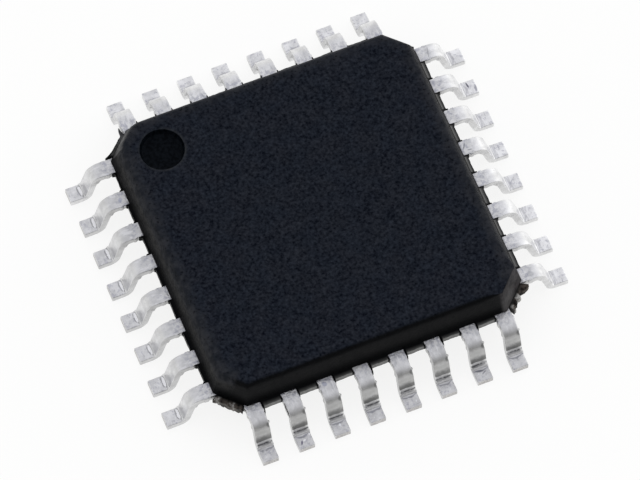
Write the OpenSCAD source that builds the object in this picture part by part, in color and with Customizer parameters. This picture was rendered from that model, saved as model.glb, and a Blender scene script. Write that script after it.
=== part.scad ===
// Quad flat pack chip: a moulded low-profile body with a row of gull-wing
// leads on each of its four sides, and the lead frame, die and bond wires
// that it is moulded around.
// Units are millimetres. +Z is up, the origin is on the seating plane under
// the middle of the body, and lead 1 is the first lead at the +Y end of the
// -X side. The leads are numbered anticlockwise as seen from above.

/* [Body] */
// Size of the body across its flats, where its walls meet the lead frame
body_w = 6.92; // [6.8:0.01:7.2]
// Width of the slanted corner faces, measured along one side
corner_cut = 0.55; // [0.4:0.05:0.6]
// Run of the mould draft for each 24 of height
draft_run = 7; // [4:1:8]
// Radius of the edge round the top and bottom faces
edge_r = 0.12; // [0.05:0.01:0.15]
// Height of the body above the lead frame
upper_h = 0.624; // [0.55:0.001:0.7]
// Height of the body below the lead frame
lower_h = 0.612; // [0.55:0.001:0.66]
// Reach of the mould flash left at the lead frame's level
flash = 0.08; // [0.02:0.01:0.12]
// Clear gap between the flash and the sides of each lead
flash_gap = 0.01; // [0:0.005:0.04]

/* [Index mark] */
// Diameter of the round index recess beside lead 1, at the top face
index_d = 0.94; // [0.6:0.02:1]
// Diameter of the recess at its floor
index_floor_d = 0.84; // [0.5:0.02:0.9]
// Depth of the index recess
index_depth = 0.12; // [0.05:0.01:0.15]
// Distance of the index recess from the middle, along X and along Y
index_pos = 2.46; // [2.3:0.01:2.5]

/* [Leads] */
// Spacing of neighbouring leads
pitch = 0.80; // [0.75:0.05:0.85]
// Width of a lead
lead_w = 0.35; // [0.28:0.01:0.4]
// Thickness of the lead frame
lead_t = 0.15; // [0.1:0.01:0.2]
// Overall size across the lead tips
span = 9.00; // [8.9:0.05:9.4]
// Length of the flat shoulder outside the body
shoulder = 0.30; // [0.2:0.01:0.36]
// Radius of the upper bend, at the middle of the metal
bend_top_r = 0.20; // [0.15:0.01:0.25]
// Radius of the lower bend, at the middle of the metal
bend_low_r = 0.15; // [0.1:0.01:0.2]
// Length of the straight slope between the two bends
slope_len = 0.435; // [0.38:0.005:0.5]
// Run of the slope for each 24 of fall
slope_run = 7; // [5:1:9]

/* [Lead frame inside the body] */
// How far in from the body's wall each lead runs straight
root_len = 0.16; // [0.1:0.01:0.2]
// Distance of the bonding tips from the middle of the body
tip_r = 1.85; // [1.8:0.01:2]
// Length of the straight bonding tip
tip_len = 0.25; // [0.2:0.01:0.3]
// Spacing of neighbouring bonding tips
tip_pitch = 0.40; // [0.36:0.01:0.42]
// Width of a bonding tip
tip_w = 0.20; // [0.15:0.01:0.22]
// Size of the die paddle
paddle_w = 3.20; // [3:0.05:3.3]
// How far the paddle is set down below the leads
paddle_drop = 0.20; // [0.16:0.01:0.25]
// Width of the tie bars that held the paddle at its corners
tie_w = 0.22; // [0.15:0.01:0.24]
// How far the cut end of a tie bar stands out of the corner face
tie_stub = 0.03; // [0.01:0.01:0.05]

/* [Die and wires] */
// Size of the silicon die
die_w = 2.40; // [2:0.05:2.6]
// Thickness of the silicon die
die_t = 0.28; // [0.2:0.01:0.3]
// Thickness of the die attach layer
attach_t = 0.03; // [0.02:0.005:0.04]
// How far the die attach layer shows around the die
attach_rim = 0.08; // [0.04:0.01:0.12]
// Spacing of the bond pads on the die
pad_pitch = 0.26; // [0.2:0.01:0.28]
// Distance of the bond pads from the middle of the die
pad_r = 1.10; // [0.95:0.01:1.12]
// Thickness of a bond wire
wire_d = 0.025; // [0.02:0.005:0.035]
// Height of a wire's loop above the die
loop_h = 0.15; // [0.12:0.01:0.18]

/* [Hidden] */

per_side = 8;
half = body_w / 2;
tip_x = span / 2;

// sine and cosine of the lead's slope and of the mould draft
s_hyp = norm([slope_run, 24]);
s_sin = 24 / s_hyp;
s_cos = slope_run / s_hyp;
d_hyp = norm([draft_run, 24]);
d_tan = draft_run / 24;

// centre height of the lead frame: the sum of the two bends and the slope
lead_z = lead_t / 2 + bend_low_r * (1 - s_cos) + slope_len * s_sin + bend_top_r * (1 - s_cos);
lf_bot = lead_z - lead_t / 2;
lf_top = lead_z + lead_t / 2;
body_top = lf_top + upper_h;
body_bot = lf_bot - lower_h;

pad_z = lf_bot - paddle_drop;         // underside of the paddle
die_z = pad_z + lead_t + attach_t;    // underside of the die
die_top = die_z + die_t;

// key points of the lead's profile, outward from the middle of the body
bend1_u = half + shoulder;
bend1_z = lead_z - bend_top_r;
slope1 = [bend1_u + bend_top_r * s_sin, bend1_z + bend_top_r * s_cos];
slope2 = slope1 + slope_len * [s_cos, -s_sin];
bend2 = [slope2[0] + bend_low_r * s_sin, lead_t / 2 + bend_low_r];

// place of lead i (0 to 7) along its side, and of its bonding tip and pad
function along(i, step) = (i - (per_side - 1) / 2) * step;
// turn of each side about Z: lead 1 is at the +Y end of the -X side
side_turn = [180, 270, 0, 90];

// one 2D quarter-turn-or-less bend: a ring cut to the sector that spans the
// slope's angle, starting from straight up
module bend_sector(r, up) {
    big = 2 * r;
    difference() {
        intersection() {
            circle(r = r + lead_t / 2, $fn = 96);
            // from +Y, clockwise to the slope's normal
            if (up)
                polygon([[0, 0], [0, big], [big * s_sin, big], [big * s_sin, big * s_cos]]);
            else
                polygon([[0, 0], [0, -big], [-big * s_sin, -big], [-big * s_sin, -big * s_cos]]);
        }
        circle(r = r - lead_t / 2, $fn = 96);
    }
}

// the gull wing from the end of the shoulder to the tip, seen from the side
module wing_profile() {
    n = lead_t / 2 * [s_sin, s_cos];
    translate([bend1_u, bend1_z]) bend_sector(bend_top_r, true);
    polygon([slope1 + n, slope2 + n, slope2 - n, slope1 - n]);
    translate(bend2) bend_sector(bend_low_r, false);
    translate([bend2[0], 0]) square([tip_x - bend2[0], lead_t]);
}

// one whole lead, running along +X at place i of its side
module lead(i) {
    a = along(i, pitch);
    b = along(i, tip_pitch);
    r1 = half - root_len;
    r2 = tip_r + tip_len;
    w = lead_w / 2;
    v = tip_w / 2;
    union() {
        translate([0, 0, lf_bot]) linear_extrude(height = lead_t)
            polygon([
                [bend1_u, a - w], [bend1_u, a + w], [r1, a + w], [r2, b + v],
                [tip_r, b + v], [tip_r, b - v], [r2, b - v], [r1, a - w]
            ]);
        translate([0, a + w, 0]) rotate([90, 0, 0]) linear_extrude(height = lead_w)
            wing_profile();
    }
}

module lead_at(k) {
    s = floor((k - 1) / per_side);
    i = (k - 1) % per_side;
    rotate([0, 0, side_turn[s]]) lead(i);
}

// paddle with its four tie bars, stamped and set down as one piece
module paddle() {
    reach = (2 * half - corner_cut) / sqrt(2) + tie_stub;
    s1 = paddle_w / sqrt(2) + 0.24;
    s2 = s1 + paddle_drop;
    union() {
        translate([-paddle_w / 2, -paddle_w / 2, pad_z]) cube([paddle_w, paddle_w, lead_t]);
        for (q = [45 : 90 : 315])
            rotate([0, 0, q]) translate([0, tie_w / 2, 0]) rotate([90, 0, 0])
                linear_extrude(height = tie_w)
                    polygon([
                        [1.9, pad_z], [s1 + 0.06, pad_z], [s2 + 0.06, lf_bot], [reach, lf_bot],
                        [reach, lf_top], [s2, lf_top], [s1, pad_z + lead_t], [1.9, pad_z + lead_t]
                    ]);
    }
}

module attach() {
    a = die_w + 2 * attach_rim;
    translate([-a / 2, -a / 2, pad_z + lead_t]) cube([a, a, attach_t]);
}

module die() {
    translate([-die_w / 2, -die_w / 2, die_z]) cube([die_w, die_w, die_t]);
}

// straight round stretch of wire between two points in the XZ plane
module stretch(p, q) {
    d = q - p;
    l = norm(d);
    translate([p[0], 0, p[1]]) rotate([0, atan2(d[0], d[1]), 0])
        translate([0, 0, -wire_d / 5]) cylinder(d = wire_d, h = l + 2 * wire_d / 5, $fn = 8);
}

// bond wire i of a side whose leads run along +X: ball on the pad, riser,
// long flat loop, and the wedge on the lead's bonding tip
module wire(i) {
    p = [pad_r, along(i, pad_pitch)];
    q = [tip_r + tip_len / 2, along(i, tip_pitch)];
    run = norm(q - p);
    top = die_top + loop_h;
    translate([p[0], p[1], 0]) rotate([0, 0, atan2(q[1] - p[1], q[0] - p[0])]) union() {
        translate([0, 0, die_top]) cylinder(d = 0.075, h = 0.016, $fn = 24);
        stretch([0, die_top + 0.01], [0, top - 0.03]);
        stretch([0, top - 0.03], [0.05, top]);
        stretch([0.05, top], [0.42 * run, top - 0.02]);
        stretch([0.42 * run, top - 0.02], [run, lf_top + wire_d / 2]);
        translate([run, 0, lf_top]) cylinder(d = 0.065, h = 0.012, $fn = 24);
    }
}

module wires(s) {
    rotate([0, 0, side_turn[s]]) for (i = [0 : per_side - 1]) wire(i);
}

// section of the body across two facing walls, w wide at the lead frame,
// extruded the full length of the body
module slab(w, turn) {
    h = w / 2;
    // centre of the round edge, from the wall's foot
    function cx(hh) = h - (hh - edge_r) * d_tan - edge_r * d_hyp / 24;
    rotate([0, 0, turn]) translate([0, 6, 0]) rotate([90, 0, 0]) linear_extrude(height = 12)
        union() {
            for (m = [0, 1]) mirror([m, 0]) {
                x1 = cx(upper_h);
                x2 = cx(lower_h);
                n = edge_r * [24, draft_run] / d_hyp;
                z1 = body_top - edge_r;
                z2 = body_bot + edge_r;
                polygon([
                    [0, lf_bot], [0, body_top], [x1, body_top], [x1, z1],
                    [x1, z1] + n, [h, lf_top], [h, lf_bot]
                ]);
                polygon([
                    [0, body_bot], [0, lf_top], [h, lf_top], [h, lf_bot],
                    [x2, z2] + [n[0], -n[1]], [x2, z2], [x2, body_bot]
                ]);
                translate([x1, z1]) circle(r = edge_r, $fn = 96);
                translate([x2, z2]) circle(r = edge_r, $fn = 96);
            }
        }
}

// outline of the mould flash, one step beyond the wall all round
module flash_outline(f) {
    h = half + f;
    c = corner_cut + f * 0.6;
    polygon([
        [h, h - c], [h - c, h], [c - h, h], [-h, h - c],
        [-h, c - h], [c - h, -h], [h - c, -h], [h, c - h]
    ]);
}

// broken end of the resin gate at the corner between the front and the right
module gate_break() {
    translate([0, 0, lf_bot - 0.02]) linear_extrude(height = lead_t + 0.05)
        rotate([0, 0, -45]) translate([(2 * half - corner_cut) / sqrt(2), 0])
            polygon([
                [-0.2, -0.36], [0.06, -0.36], [0.15, -0.30], [0.17, -0.22], [0.10, -0.17],
                [0.16, -0.10], [0.07, -0.04], [0.05, 0.03], [0.13, 0.07], [0.09, 0.11],
                [0.18, 0.14], [0.21, 0.22], [0.22, 0.29], [0.16, 0.36], [-0.2, 0.38]
            ]);
}

module mould() {
    diag = (2 * half - corner_cut) / sqrt(2) * 2;
    difference() {
        union() {
            intersection() {
                slab(body_w, 0);
                slab(body_w, 90);
                slab(diag, 45);
                slab(diag, 135);
            }
            difference() {
                translate([0, 0, lf_bot]) linear_extrude(height = lead_t) flash_outline(flash);
                for (s = [0 : 3], i = [0 : per_side - 1])
                    rotate([0, 0, side_turn[s]])
                        translate([half, along(i, pitch) - lead_w / 2 - flash_gap, lf_bot - 1])
                            cube([1, lead_w + 2 * flash_gap, 3]);
            }
            gate_break();
        }
        translate([-index_pos, index_pos, body_top - index_depth])
            cylinder(d1 = index_floor_d, d2 = 2 * index_d - index_floor_d, h = 2 * index_depth, $fn = 96);
        for (k = [1 : 4 * per_side]) lead_at(k);
        paddle();
        attach();
        die();
        for (s = [0 : 3]) wires(s);
    }
}

module mould_body() { color([0.09, 0.09, 0.11]) mould(); }
module die_paddle() { color([0.78, 0.52, 0.35]) paddle(); }
module die_attach() { color([0.75, 0.75, 0.72]) attach(); }
module silicon_die() { color([0.35, 0.38, 0.45]) die(); }
module bond_wires(s) { color([0.95, 0.78, 0.3]) wires(s); }
module pin(k) { color([0.78, 0.78, 0.80]) lead_at(k); }

mould_body();
die_paddle();
die_attach();
silicon_die();
bond_wires(0);  // bond_wires_left
bond_wires(1);  // bond_wires_front
bond_wires(2);  // bond_wires_right
bond_wires(3);  // bond_wires_back
pin(1);  // lead_01
pin(2);  // lead_02
pin(3);  // lead_03
pin(4);  // lead_04
pin(5);  // lead_05
pin(6);  // lead_06
pin(7);  // lead_07
pin(8);  // lead_08
pin(9);  // lead_09
pin(10);  // lead_10
pin(11);  // lead_11
pin(12);  // lead_12
pin(13);  // lead_13
pin(14);  // lead_14
pin(15);  // lead_15
pin(16);  // lead_16
pin(17);  // lead_17
pin(18);  // lead_18
pin(19);  // lead_19
pin(20);  // lead_20
pin(21);  // lead_21
pin(22);  // lead_22
pin(23);  // lead_23
pin(24);  // lead_24
pin(25);  // lead_25
pin(26);  // lead_26
pin(27);  // lead_27
pin(28);  // lead_28
pin(29);  // lead_29
pin(30);  // lead_30
pin(31);  // lead_31
pin(32);  // lead_32
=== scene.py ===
"""Looks of the quad flat pack chip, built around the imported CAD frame. Lengths are worked out in
millimetres and turned to metres where each mesh is made. +Z is up, lead 1 is at the +Y end of the -X side."""

import math

import bpy
import numpy as np
from mathutils import Matrix, Vector
from mathutils.geometry import delaunay_2d_cdt


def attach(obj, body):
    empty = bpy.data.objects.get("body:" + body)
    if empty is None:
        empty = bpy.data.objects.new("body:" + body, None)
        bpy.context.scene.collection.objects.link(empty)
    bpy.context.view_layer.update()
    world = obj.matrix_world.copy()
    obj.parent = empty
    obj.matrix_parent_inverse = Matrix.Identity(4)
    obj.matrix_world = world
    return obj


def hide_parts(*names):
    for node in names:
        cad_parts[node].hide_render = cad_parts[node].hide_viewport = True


MM = 0.001
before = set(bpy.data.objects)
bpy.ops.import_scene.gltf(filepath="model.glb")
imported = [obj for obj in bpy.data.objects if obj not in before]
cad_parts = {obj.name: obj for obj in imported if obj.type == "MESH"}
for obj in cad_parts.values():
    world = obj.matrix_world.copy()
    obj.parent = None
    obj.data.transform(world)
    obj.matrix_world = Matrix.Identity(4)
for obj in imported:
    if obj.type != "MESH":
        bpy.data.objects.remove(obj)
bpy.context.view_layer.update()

# ----------------------------------------------------------------------------------------------
# Camera: the viewing angle of the reference, a long lens from the front left, high up
# ----------------------------------------------------------------------------------------------
AZ, EL, ROLL = math.radians(-21.341), math.radians(63.553), math.radians(-0.738)
DIST, TX, TY = 163.988, 0.094, -0.047
back = Vector((math.sin(AZ) * math.cos(EL), -math.cos(AZ) * math.cos(EL), math.sin(EL)))
right = Vector((math.cos(AZ), math.sin(AZ), 0.0))
up = right.cross(back) * -1.0
cam_r = right * math.cos(ROLL) + up * math.sin(ROLL)
cam_u = up * math.cos(ROLL) - right * math.sin(ROLL)
cam_at = (back * DIST + cam_r * TX + cam_u * TY) * MM
cam = bpy.data.objects.new("camera", bpy.data.cameras.new("camera"))
bpy.context.scene.collection.objects.link(cam)
rot = Matrix((cam_r, cam_u, back)).transposed()
cam.matrix_world = Matrix.Translation(cam_at) @ rot.to_4x4()
cam.data.sensor_width = 36.0
cam.data.lens = 438.86
cam.data.clip_start = 0.001
cam.data.clip_end = 10.0
bpy.context.scene.camera = cam
bpy.context.scene.view_settings.view_transform = "Standard"
bpy.context.scene.view_settings.look = "None"
bpy.context.scene.view_settings.exposure = 0.0
bpy.context.scene.view_settings.gamma = 1.0


# ----------------------------------------------------------------------------------------------
# Helpers: seeded noise, meshes, node trees
# ----------------------------------------------------------------------------------------------
def hash01(i, j, k, seed):
    """repeatable value from 0 to 1 for each whole-number cell"""
    with np.errstate(over="ignore"):
        h = (
            i.astype(np.uint32) * np.uint32(374761393)
            + j.astype(np.uint32) * np.uint32(668265263)
            + k.astype(np.uint32) * np.uint32(2147483647)
            + np.uint32((seed * 1274126177 + 362437) & 0xFFFFFFFF)
        )
        h = (h ^ (h >> np.uint32(13))) * np.uint32(1274126177)
        h = (h ^ (h >> np.uint32(15))) * np.uint32(2246822519)
        h = h ^ (h >> np.uint32(16))
    return h.astype(np.float64) / 4294967295.0


def vnoise(p, size, seed=0):
    """smooth noise from -1 to 1 at points p (n x 3), with cells of the given size"""
    q = np.asarray(p, float) / size + 1000.0
    c = np.floor(q).astype(np.int64)
    f = q - c
    f = f * f * (3 - 2 * f)
    out = np.zeros(len(q))
    for dx in (0, 1):
        for dy in (0, 1):
            for dz in (0, 1):
                w = (
                    (f[:, 0] if dx else 1 - f[:, 0])
                    * (f[:, 1] if dy else 1 - f[:, 1])
                    * (f[:, 2] if dz else 1 - f[:, 2])
                )
                out += w * hash01(c[:, 0] + dx, c[:, 1] + dy, c[:, 2] + dz, seed)
    return out * 2 - 1


def fbm(p, size, seed=0, octaves=3):
    total, amp, norm = 0.0, 1.0, 0.0
    for o in range(octaves):
        total = total + amp * vnoise(p, size / 2**o, seed + 17 * o)
        norm += amp
        amp *= 0.55
    return total / norm


def smooth(a, b, x):
    t = np.clip((np.asarray(x, float) - a) / (b - a), 0, 1)
    return t * t * (3 - 2 * t)


def bump(x, centre, half):
    """1 at the centre, 0 beyond centre +- half, smooth"""
    t = np.clip(1 - np.abs(np.asarray(x, float) - centre) / half, 0, 1)
    return t * t * (3 - 2 * t)


def make_mesh(name, verts_mm, faces, attrs=None, sharp=40.0):
    """a mesh object from points in millimetres, facing outward, with named float attributes on its points"""
    verts_mm = np.asarray(verts_mm, float)
    v = verts_mm * MM
    vol = 0.0
    for f in faces:
        a = verts_mm[f[0]]
        for j in range(1, len(f) - 1):
            vol += float(np.dot(a, np.cross(verts_mm[f[j]], verts_mm[f[j + 1]])))
    if vol < 0:
        faces = [tuple(reversed(f)) for f in faces]
    mesh = bpy.data.meshes.new(name)
    mesh.from_pydata([tuple(p) for p in v], [], faces)
    for key, values in (attrs or {}).items():
        at = mesh.attributes.new(key, "FLOAT", "POINT")
        at.data.foreach_set("value", np.asarray(values, np.float32))
    mesh.polygons.foreach_set("use_smooth", [True] * len(mesh.polygons))
    mesh.set_sharp_from_angle(angle=math.radians(sharp))
    mesh.validate()
    mesh.update()
    ob = bpy.data.objects.new(name, mesh)
    bpy.context.scene.collection.objects.link(ob)
    return ob


class Tree:
    """short way to write a material's node tree"""

    def __init__(self, name):
        self.mat = bpy.data.materials.new(name)
        self.mat.use_nodes = True
        self.t = self.mat.node_tree
        self.t.nodes.clear()
        self.out = self.t.nodes.new("ShaderNodeOutputMaterial")
        self.bsdf = self.t.nodes.new("ShaderNodeBsdfPrincipled")
        self.t.links.new(self.bsdf.outputs[0], self.out.inputs["Surface"])
        self.coord = None

    def put(self, socket, value):
        if isinstance(value, bpy.types.NodeSocket):
            self.t.links.new(value, socket)
        elif isinstance(value, (tuple, list)) and len(value) == 3 and len(socket.default_value) == 4:
            socket.default_value = (*value, 1.0)
        else:
            socket.default_value = value

    def node(self, kind, inputs=None, **props):
        n = self.t.nodes.new(kind)
        for k, v in props.items():
            setattr(n, k, v)
        for k, v in (inputs or {}).items():
            self.put(n.inputs[k], v)
        return n

    def obj(self):
        if self.coord is None:
            self.coord = self.t.nodes.new("ShaderNodeTexCoord").outputs["Object"]
        return self.coord

    def attr(self, name):
        return self.node("ShaderNodeAttribute", attribute_name=name).outputs["Fac"]

    def math(self, op, a, b=0.0, c=0.0, clamp=False):
        n = self.node("ShaderNodeMath", operation=op, use_clamp=clamp)
        for i, x in enumerate((a, b, c)):
            self.put(n.inputs[i], x)
        return n.outputs[0]

    def noise(self, scale, detail=2.0, rough=0.5, vec=None, distortion=0.0):
        """noise from about 0 to 1; scale is in cells per millimetre"""
        n = self.node("ShaderNodeTexNoise", {"Scale": scale * 1000.0, "Detail": detail, "Roughness": rough, "Distortion": distortion})
        self.t.links.new(vec if vec is not None else self.obj(), n.inputs["Vector"])
        return n.outputs["Fac"]

    def cells(self, scale, vec=None, feature="F1", randomness=1.0):
        n = self.node("ShaderNodeTexVoronoi", {"Scale": scale * 1000.0, "Randomness": randomness}, feature=feature)
        self.t.links.new(vec if vec is not None else self.obj(), n.inputs["Vector"])
        return n.outputs["Distance"]

    def stretch(self, sx, sy, sz, vec=None):
        n = self.node("ShaderNodeMapping", {"Scale": (sx, sy, sz)}, vector_type="POINT")
        self.t.links.new(vec if vec is not None else self.obj(), n.inputs["Vector"])
        return n.outputs[0]

    def vec(self, x, y, z):
        n = self.node("ShaderNodeCombineXYZ")
        for i, v in enumerate((x, y, z)):
            self.put(n.inputs[i], v)
        return n.outputs[0]

    def split(self, vec):
        n = self.node("ShaderNodeSeparateXYZ")
        self.t.links.new(vec, n.inputs[0])
        return n.outputs

    def step(self, x, a, b):
        """0 at a, 1 at b, smooth and clamped"""
        n = self.node("ShaderNodeMapRange", interpolation_type="SMOOTHSTEP", clamp=True)
        for i, v in enumerate((x, a, b, 0.0, 1.0)):
            self.put(n.inputs[i], v)
        return n.outputs[0]

    def mix(self, fac, a, b, blend="MIX"):
        n = self.node("ShaderNodeMix", data_type="RGBA", blend_type=blend, clamp_result=False)
        self.put(n.inputs[0], fac)
        self.put(n.inputs[6], a)
        self.put(n.inputs[7], b)
        return n.outputs[2]

    def bumps(self, height, distance_um, strength=1.0, normal=None):
        n = self.node("ShaderNodeBump", {"Strength": strength, "Distance": distance_um * 1e-6, "Height": height})
        if normal is not None:
            self.t.links.new(normal, n.inputs["Normal"])
        return n.outputs[0]

    def face_up(self):
        """Z of the shaded normal's true surface"""
        n = self.node("ShaderNodeNewGeometry")
        return self.split(n.outputs["Normal"])[2]


def set_material(ob, mat):
    ob.data.materials.clear()
    ob.data.materials.append(mat)


# ----------------------------------------------------------------------------------------------
# Dimensions, the same as the CAD's
# ----------------------------------------------------------------------------------------------
HALF, CUT = 3.46, 0.55
D_TAN = 7 / 24
D_HYP = math.hypot(7, 24)
EDGE_R = 0.12
LEAD_T, LEAD_W, PITCH = 0.15, 0.35, 0.80
SHOULDER, RA, RB = 0.30, 0.20, 0.15
LEAD_Z = 0.7446
LF_BOT, LF_TOP = LEAD_Z - LEAD_T / 2, LEAD_Z + LEAD_T / 2
TOP, BOT = LF_TOP + 0.624, LF_BOT - 0.612
DIAG = (2 * HALF - CUT) / math.sqrt(2)
TURN = (180.0, 270.0, 0.0, 90.0)  # left, front, right, back
NAMES = ("left", "front", "right", "back")
INDEX_POS, INDEX_R, INDEX_FLOOR_R, INDEX_DEPTH = 2.46, 0.47, 0.42, 0.12

# how each lead's tip stands off its nominal place: sideways along its side, and outward (mm)
TIP_SIDE = [
    -0.013, 0.011, 0.006, 0.007, 0.008, 0.001, 0.006, 0.002,
    -0.002, 0.007, 0.009, -0.004, 0.004, 0.005, 0.012, 0.006,
    -0.011, -0.009, -0.013, -0.016, -0.009, -0.013, -0.008, -0.003,
    0.006, 0.003, -0.002, -0.003, -0.001, -0.008, -0.010, -0.004,
]
TIP_LONG = [
    -0.014, -0.012, -0.014, -0.008, -0.005, -0.003, 0.013, 0.016,
    -0.005, -0.004, -0.012, -0.011, -0.011, -0.025, -0.030, -0.024,
    0.004, -0.007, -0.010, -0.017, -0.015, -0.013, -0.021, -0.008,
    0.020, 0.009, -0.010, -0.003, -0.001, -0.004, -0.012, -0.012,
]


def turned(p, side):
    a = math.radians(TURN[side])
    c, s = math.cos(a), math.sin(a)
    p = np.asarray(p, float)
    return np.stack([p[:, 0] * c - p[:, 1] * s, p[:, 0] * s + p[:, 1] * c, p[:, 2]], 1)


# ----------------------------------------------------------------------------------------------
# Leads: one swept strip each, stamped section with rolled upper edges, formed as a gull wing
# ----------------------------------------------------------------------------------------------
def section_plan(r_top, r_bot):
    """points round the section: (share of the flat width, offset y, share of the height, offset h)"""
    pts = []
    n_top, n_bot, n_side, n_arc = 12, 6, 4, 5
    for i in range(n_top + 1):
        pts.append((-1 + 2 * i / n_top, 0.0, 1, r_top, r_top))
    for i in range(1, n_arc):
        a = math.radians(90 - 90 * i / n_arc)
        pts.append((1, r_top * math.cos(a), 1, r_top * math.sin(a), r_top))
    for i in range(n_side + 1):
        f = i / n_side
        pts.append((1, None, 1 - 2 * f, None, r_top * (1 - f) + r_bot * f))
    for i in range(1, n_arc):
        a = math.radians(-90 * i / n_arc)
        pts.append((1, r_bot * math.cos(a), -1, r_bot * math.sin(a), r_bot))
    for i in range(n_bot + 1):
        pts.append((1 - 2 * i / n_bot, 0.0, -1, -r_bot, r_bot))
    for i in range(1, n_arc):
        a = math.radians(-90 - 90 * i / n_arc)
        pts.append((-1, r_bot * math.cos(a), -1, r_bot * math.sin(a), r_bot))
    for i in range(n_side + 1):
        f = i / n_side
        pts.append((-1, None, -1 + 2 * f, None, r_bot * (1 - f) + r_top * f))
    for i in range(1, n_arc):
        a = math.radians(180 - 90 * i / n_arc)
        pts.append((-1, r_top * math.cos(a), 1, r_top * math.sin(a), r_top))
    return pts


def lead_mesh(k):
    s, i = (k - 1) // 8, (k - 1) % 8
    rng = np.random.RandomState(1000 + k)
    a, b = (i - 3.5) * PITCH, (i - 3.5) * 0.40
    theta = math.radians(73.74 + rng.uniform(-1.0, 1.0))
    sn, cs = math.sin(theta), math.cos(theta)
    slope = (LEAD_Z - LEAD_T / 2 - (RA + RB) * (1 - cs)) / sn
    tip_u = 4.5 + TIP_LONG[k - 1]
    # centre line: u, z, slope angle, path length outside the wall, width, sideways centre
    st = []
    for u in (1.85, 1.862, 1.90, 1.98, 2.06, 2.10, 2.30, 2.55, 2.8, 3.05, 3.24, 3.30, 3.38, 3.44):
        f = min(max((u - 2.10) / 1.20, 0), 1)
        st.append((u, LEAD_Z, 0.0, u - HALF, 0.20 + 0.15 * f, b + (a - b) * f))
    n = 22
    for j in range(n + 1):
        u = HALF + SHOULDER * j / n
        st.append((u, LEAD_Z, 0.0, u - HALF, LEAD_W, a))
    u0, path = HALF + SHOULDER, SHOULDER
    n = 20
    for j in range(1, n + 1):
        t = theta * j / n
        st.append((u0 + RA * math.sin(t), LEAD_Z - RA + RA * math.cos(t), t, path + RA * t, LEAD_W, a))
    u1, z1, path = st[-1][0], st[-1][1], path + RA * theta
    n = 16
    for j in range(1, n + 1):
        d = slope * j / n
        st.append((u1 + d * cs, z1 - d * sn, theta, path + d, LEAD_W, a))
    u2, z2, path = st[-1][0], st[-1][1], path + slope
    cu, cz = u2 + RB * sn, z2 + RB * cs
    n = 20
    for j in range(1, n + 1):
        t = theta * (1 - j / n)
        st.append((cu - RB * math.sin(t), cz - RB * math.cos(t), t, path + RB * theta * j / n, LEAD_W, a))
    path += RB * theta
    foot = tip_u - cu
    n = 14
    for j in range(1, n + 1):
        d = (foot - 0.02) * j / n
        st.append((cu + d, LEAD_T / 2, 0.0, path + d, LEAD_W, a))
    path_tip = path + foot
    for e in (0.012, 0.006, 0.002, 0.0):
        st.append((tip_u - e, LEAD_T / 2, 0.0, path_tip - e, LEAD_W, a))
    st = np.array(st)
    ns = len(st)
    low0 = SHOULDER + RA * theta + slope  # where the lower bend starts along the path

    r_top, r_bot = 0.020 + rng.uniform(-0.003, 0.004), 0.008
    plan = section_plan(r_top, r_bot)
    npt = len(plan)
    # small stub left by the trimmed dam bar on each edge, different on each lead
    stub = {}
    for edge in (-1, 1):
        stub[edge] = (0.175 + rng.uniform(-0.015, 0.02), 0.045 + rng.uniform(-0.01, 0.012), 0.008 + rng.uniform(0, 0.010))
    verts = np.zeros((ns, npt, 3))
    lat = np.zeros((ns, npt))
    hgt = np.zeros((ns, npt))
    U, Z, T, P, W, Y = st.T
    for m, (cy, oy, ch, oh, r) in enumerate(plan):
        half_t = LEAD_T / 2
        if oy is None:
            y = cy * W / 2
            h = np.full(ns, (1 - (1 - ch) / 2) * (half_t - r_top) - ((1 - ch) / 2) * (half_t - r_bot))
        else:
            y = cy * (W / 2 - r) + oy
            h = np.full(ns, ch * (half_t - r) + oh)
        edge = 1 if cy >= 1 else (-1 if cy <= -1 else 0)
        share = np.abs(y) / (W / 2)
        if edge:
            at, wide, tall = stub[edge]
            grow = tall * (smooth(at - wide, at - wide + 0.012, P) - smooth(at + wide - 0.012, at + wide, P))
            # the metal is squeezed out sideways on the inside of each bend and drawn in on the outside
            inner_top = smooth(0.02, -0.07, h)
            inner_low = smooth(-0.02, 0.07, h)
            knob = {1: (0.048, 0.016), 3: (0.040, 0.020)}.get(s, (0.024, 0.020))
            grow = grow + knob[0 if edge > 0 else 1] * inner_top * bump(P, 0.470, 0.10 if s == 1 else 0.12) - 0.006 * (1 - inner_top) * bump(P, 0.43, 0.16)
            if s == 1 and edge < 0:
                grow = grow + 0.020 * bump(P, 0.015, 0.050)
            grow = grow + 0.016 * inner_low * bump(P, low0 + 0.08, 0.13) - 0.004 * (1 - inner_low) * bump(P, low0 + 0.09, 0.12)
            y = y + edge * grow * smooth(0.6, 1.0, share)
        # the lead leans a little sideways towards its tip
        y = y + Y + TIP_SIDE[k - 1] * np.clip((U - HALF) / 1.04, 0, 1)
        verts[:, m, 0] = U + np.sin(T) * h
        verts[:, m, 1] = y
        verts[:, m, 2] = Z + np.cos(T) * h
        lat[:, m] = (y - Y) / (LEAD_W / 2)
        hgt[:, m] = h / half_t
    # press marks across the inside of the two bends, faint waves along the strip
    flat = verts.reshape(-1, 3)
    Pn = np.repeat(P, npt)
    Tn = np.repeat(T, npt)
    ln, hn = lat.reshape(-1), hgt.reshape(-1)
    outside = smooth(0.0, 0.05, Pn)
    seedp = np.stack([Pn, ln * 0.175, hn * 0.075 + k * 3.7], 1)
    wave = 0.0022 * fbm(seedp, 0.11, 5) + 0.0010 * fbm(seedp, 0.03, 9)
    # shallow pressed line where the forming tool's edge bore, near the end of the lower bend
    crease = -0.006 * bump(Pn, low0 + 0.135 + 0.006 * fbm(seedp * [1, 1, 0], 0.1, 31), 0.022) * smooth(0.4, 0.9, hn)
    ridge = 0.004 * bump(Pn, low0 + 0.095, 0.02) * smooth(0.4, 0.9, hn)
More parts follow.
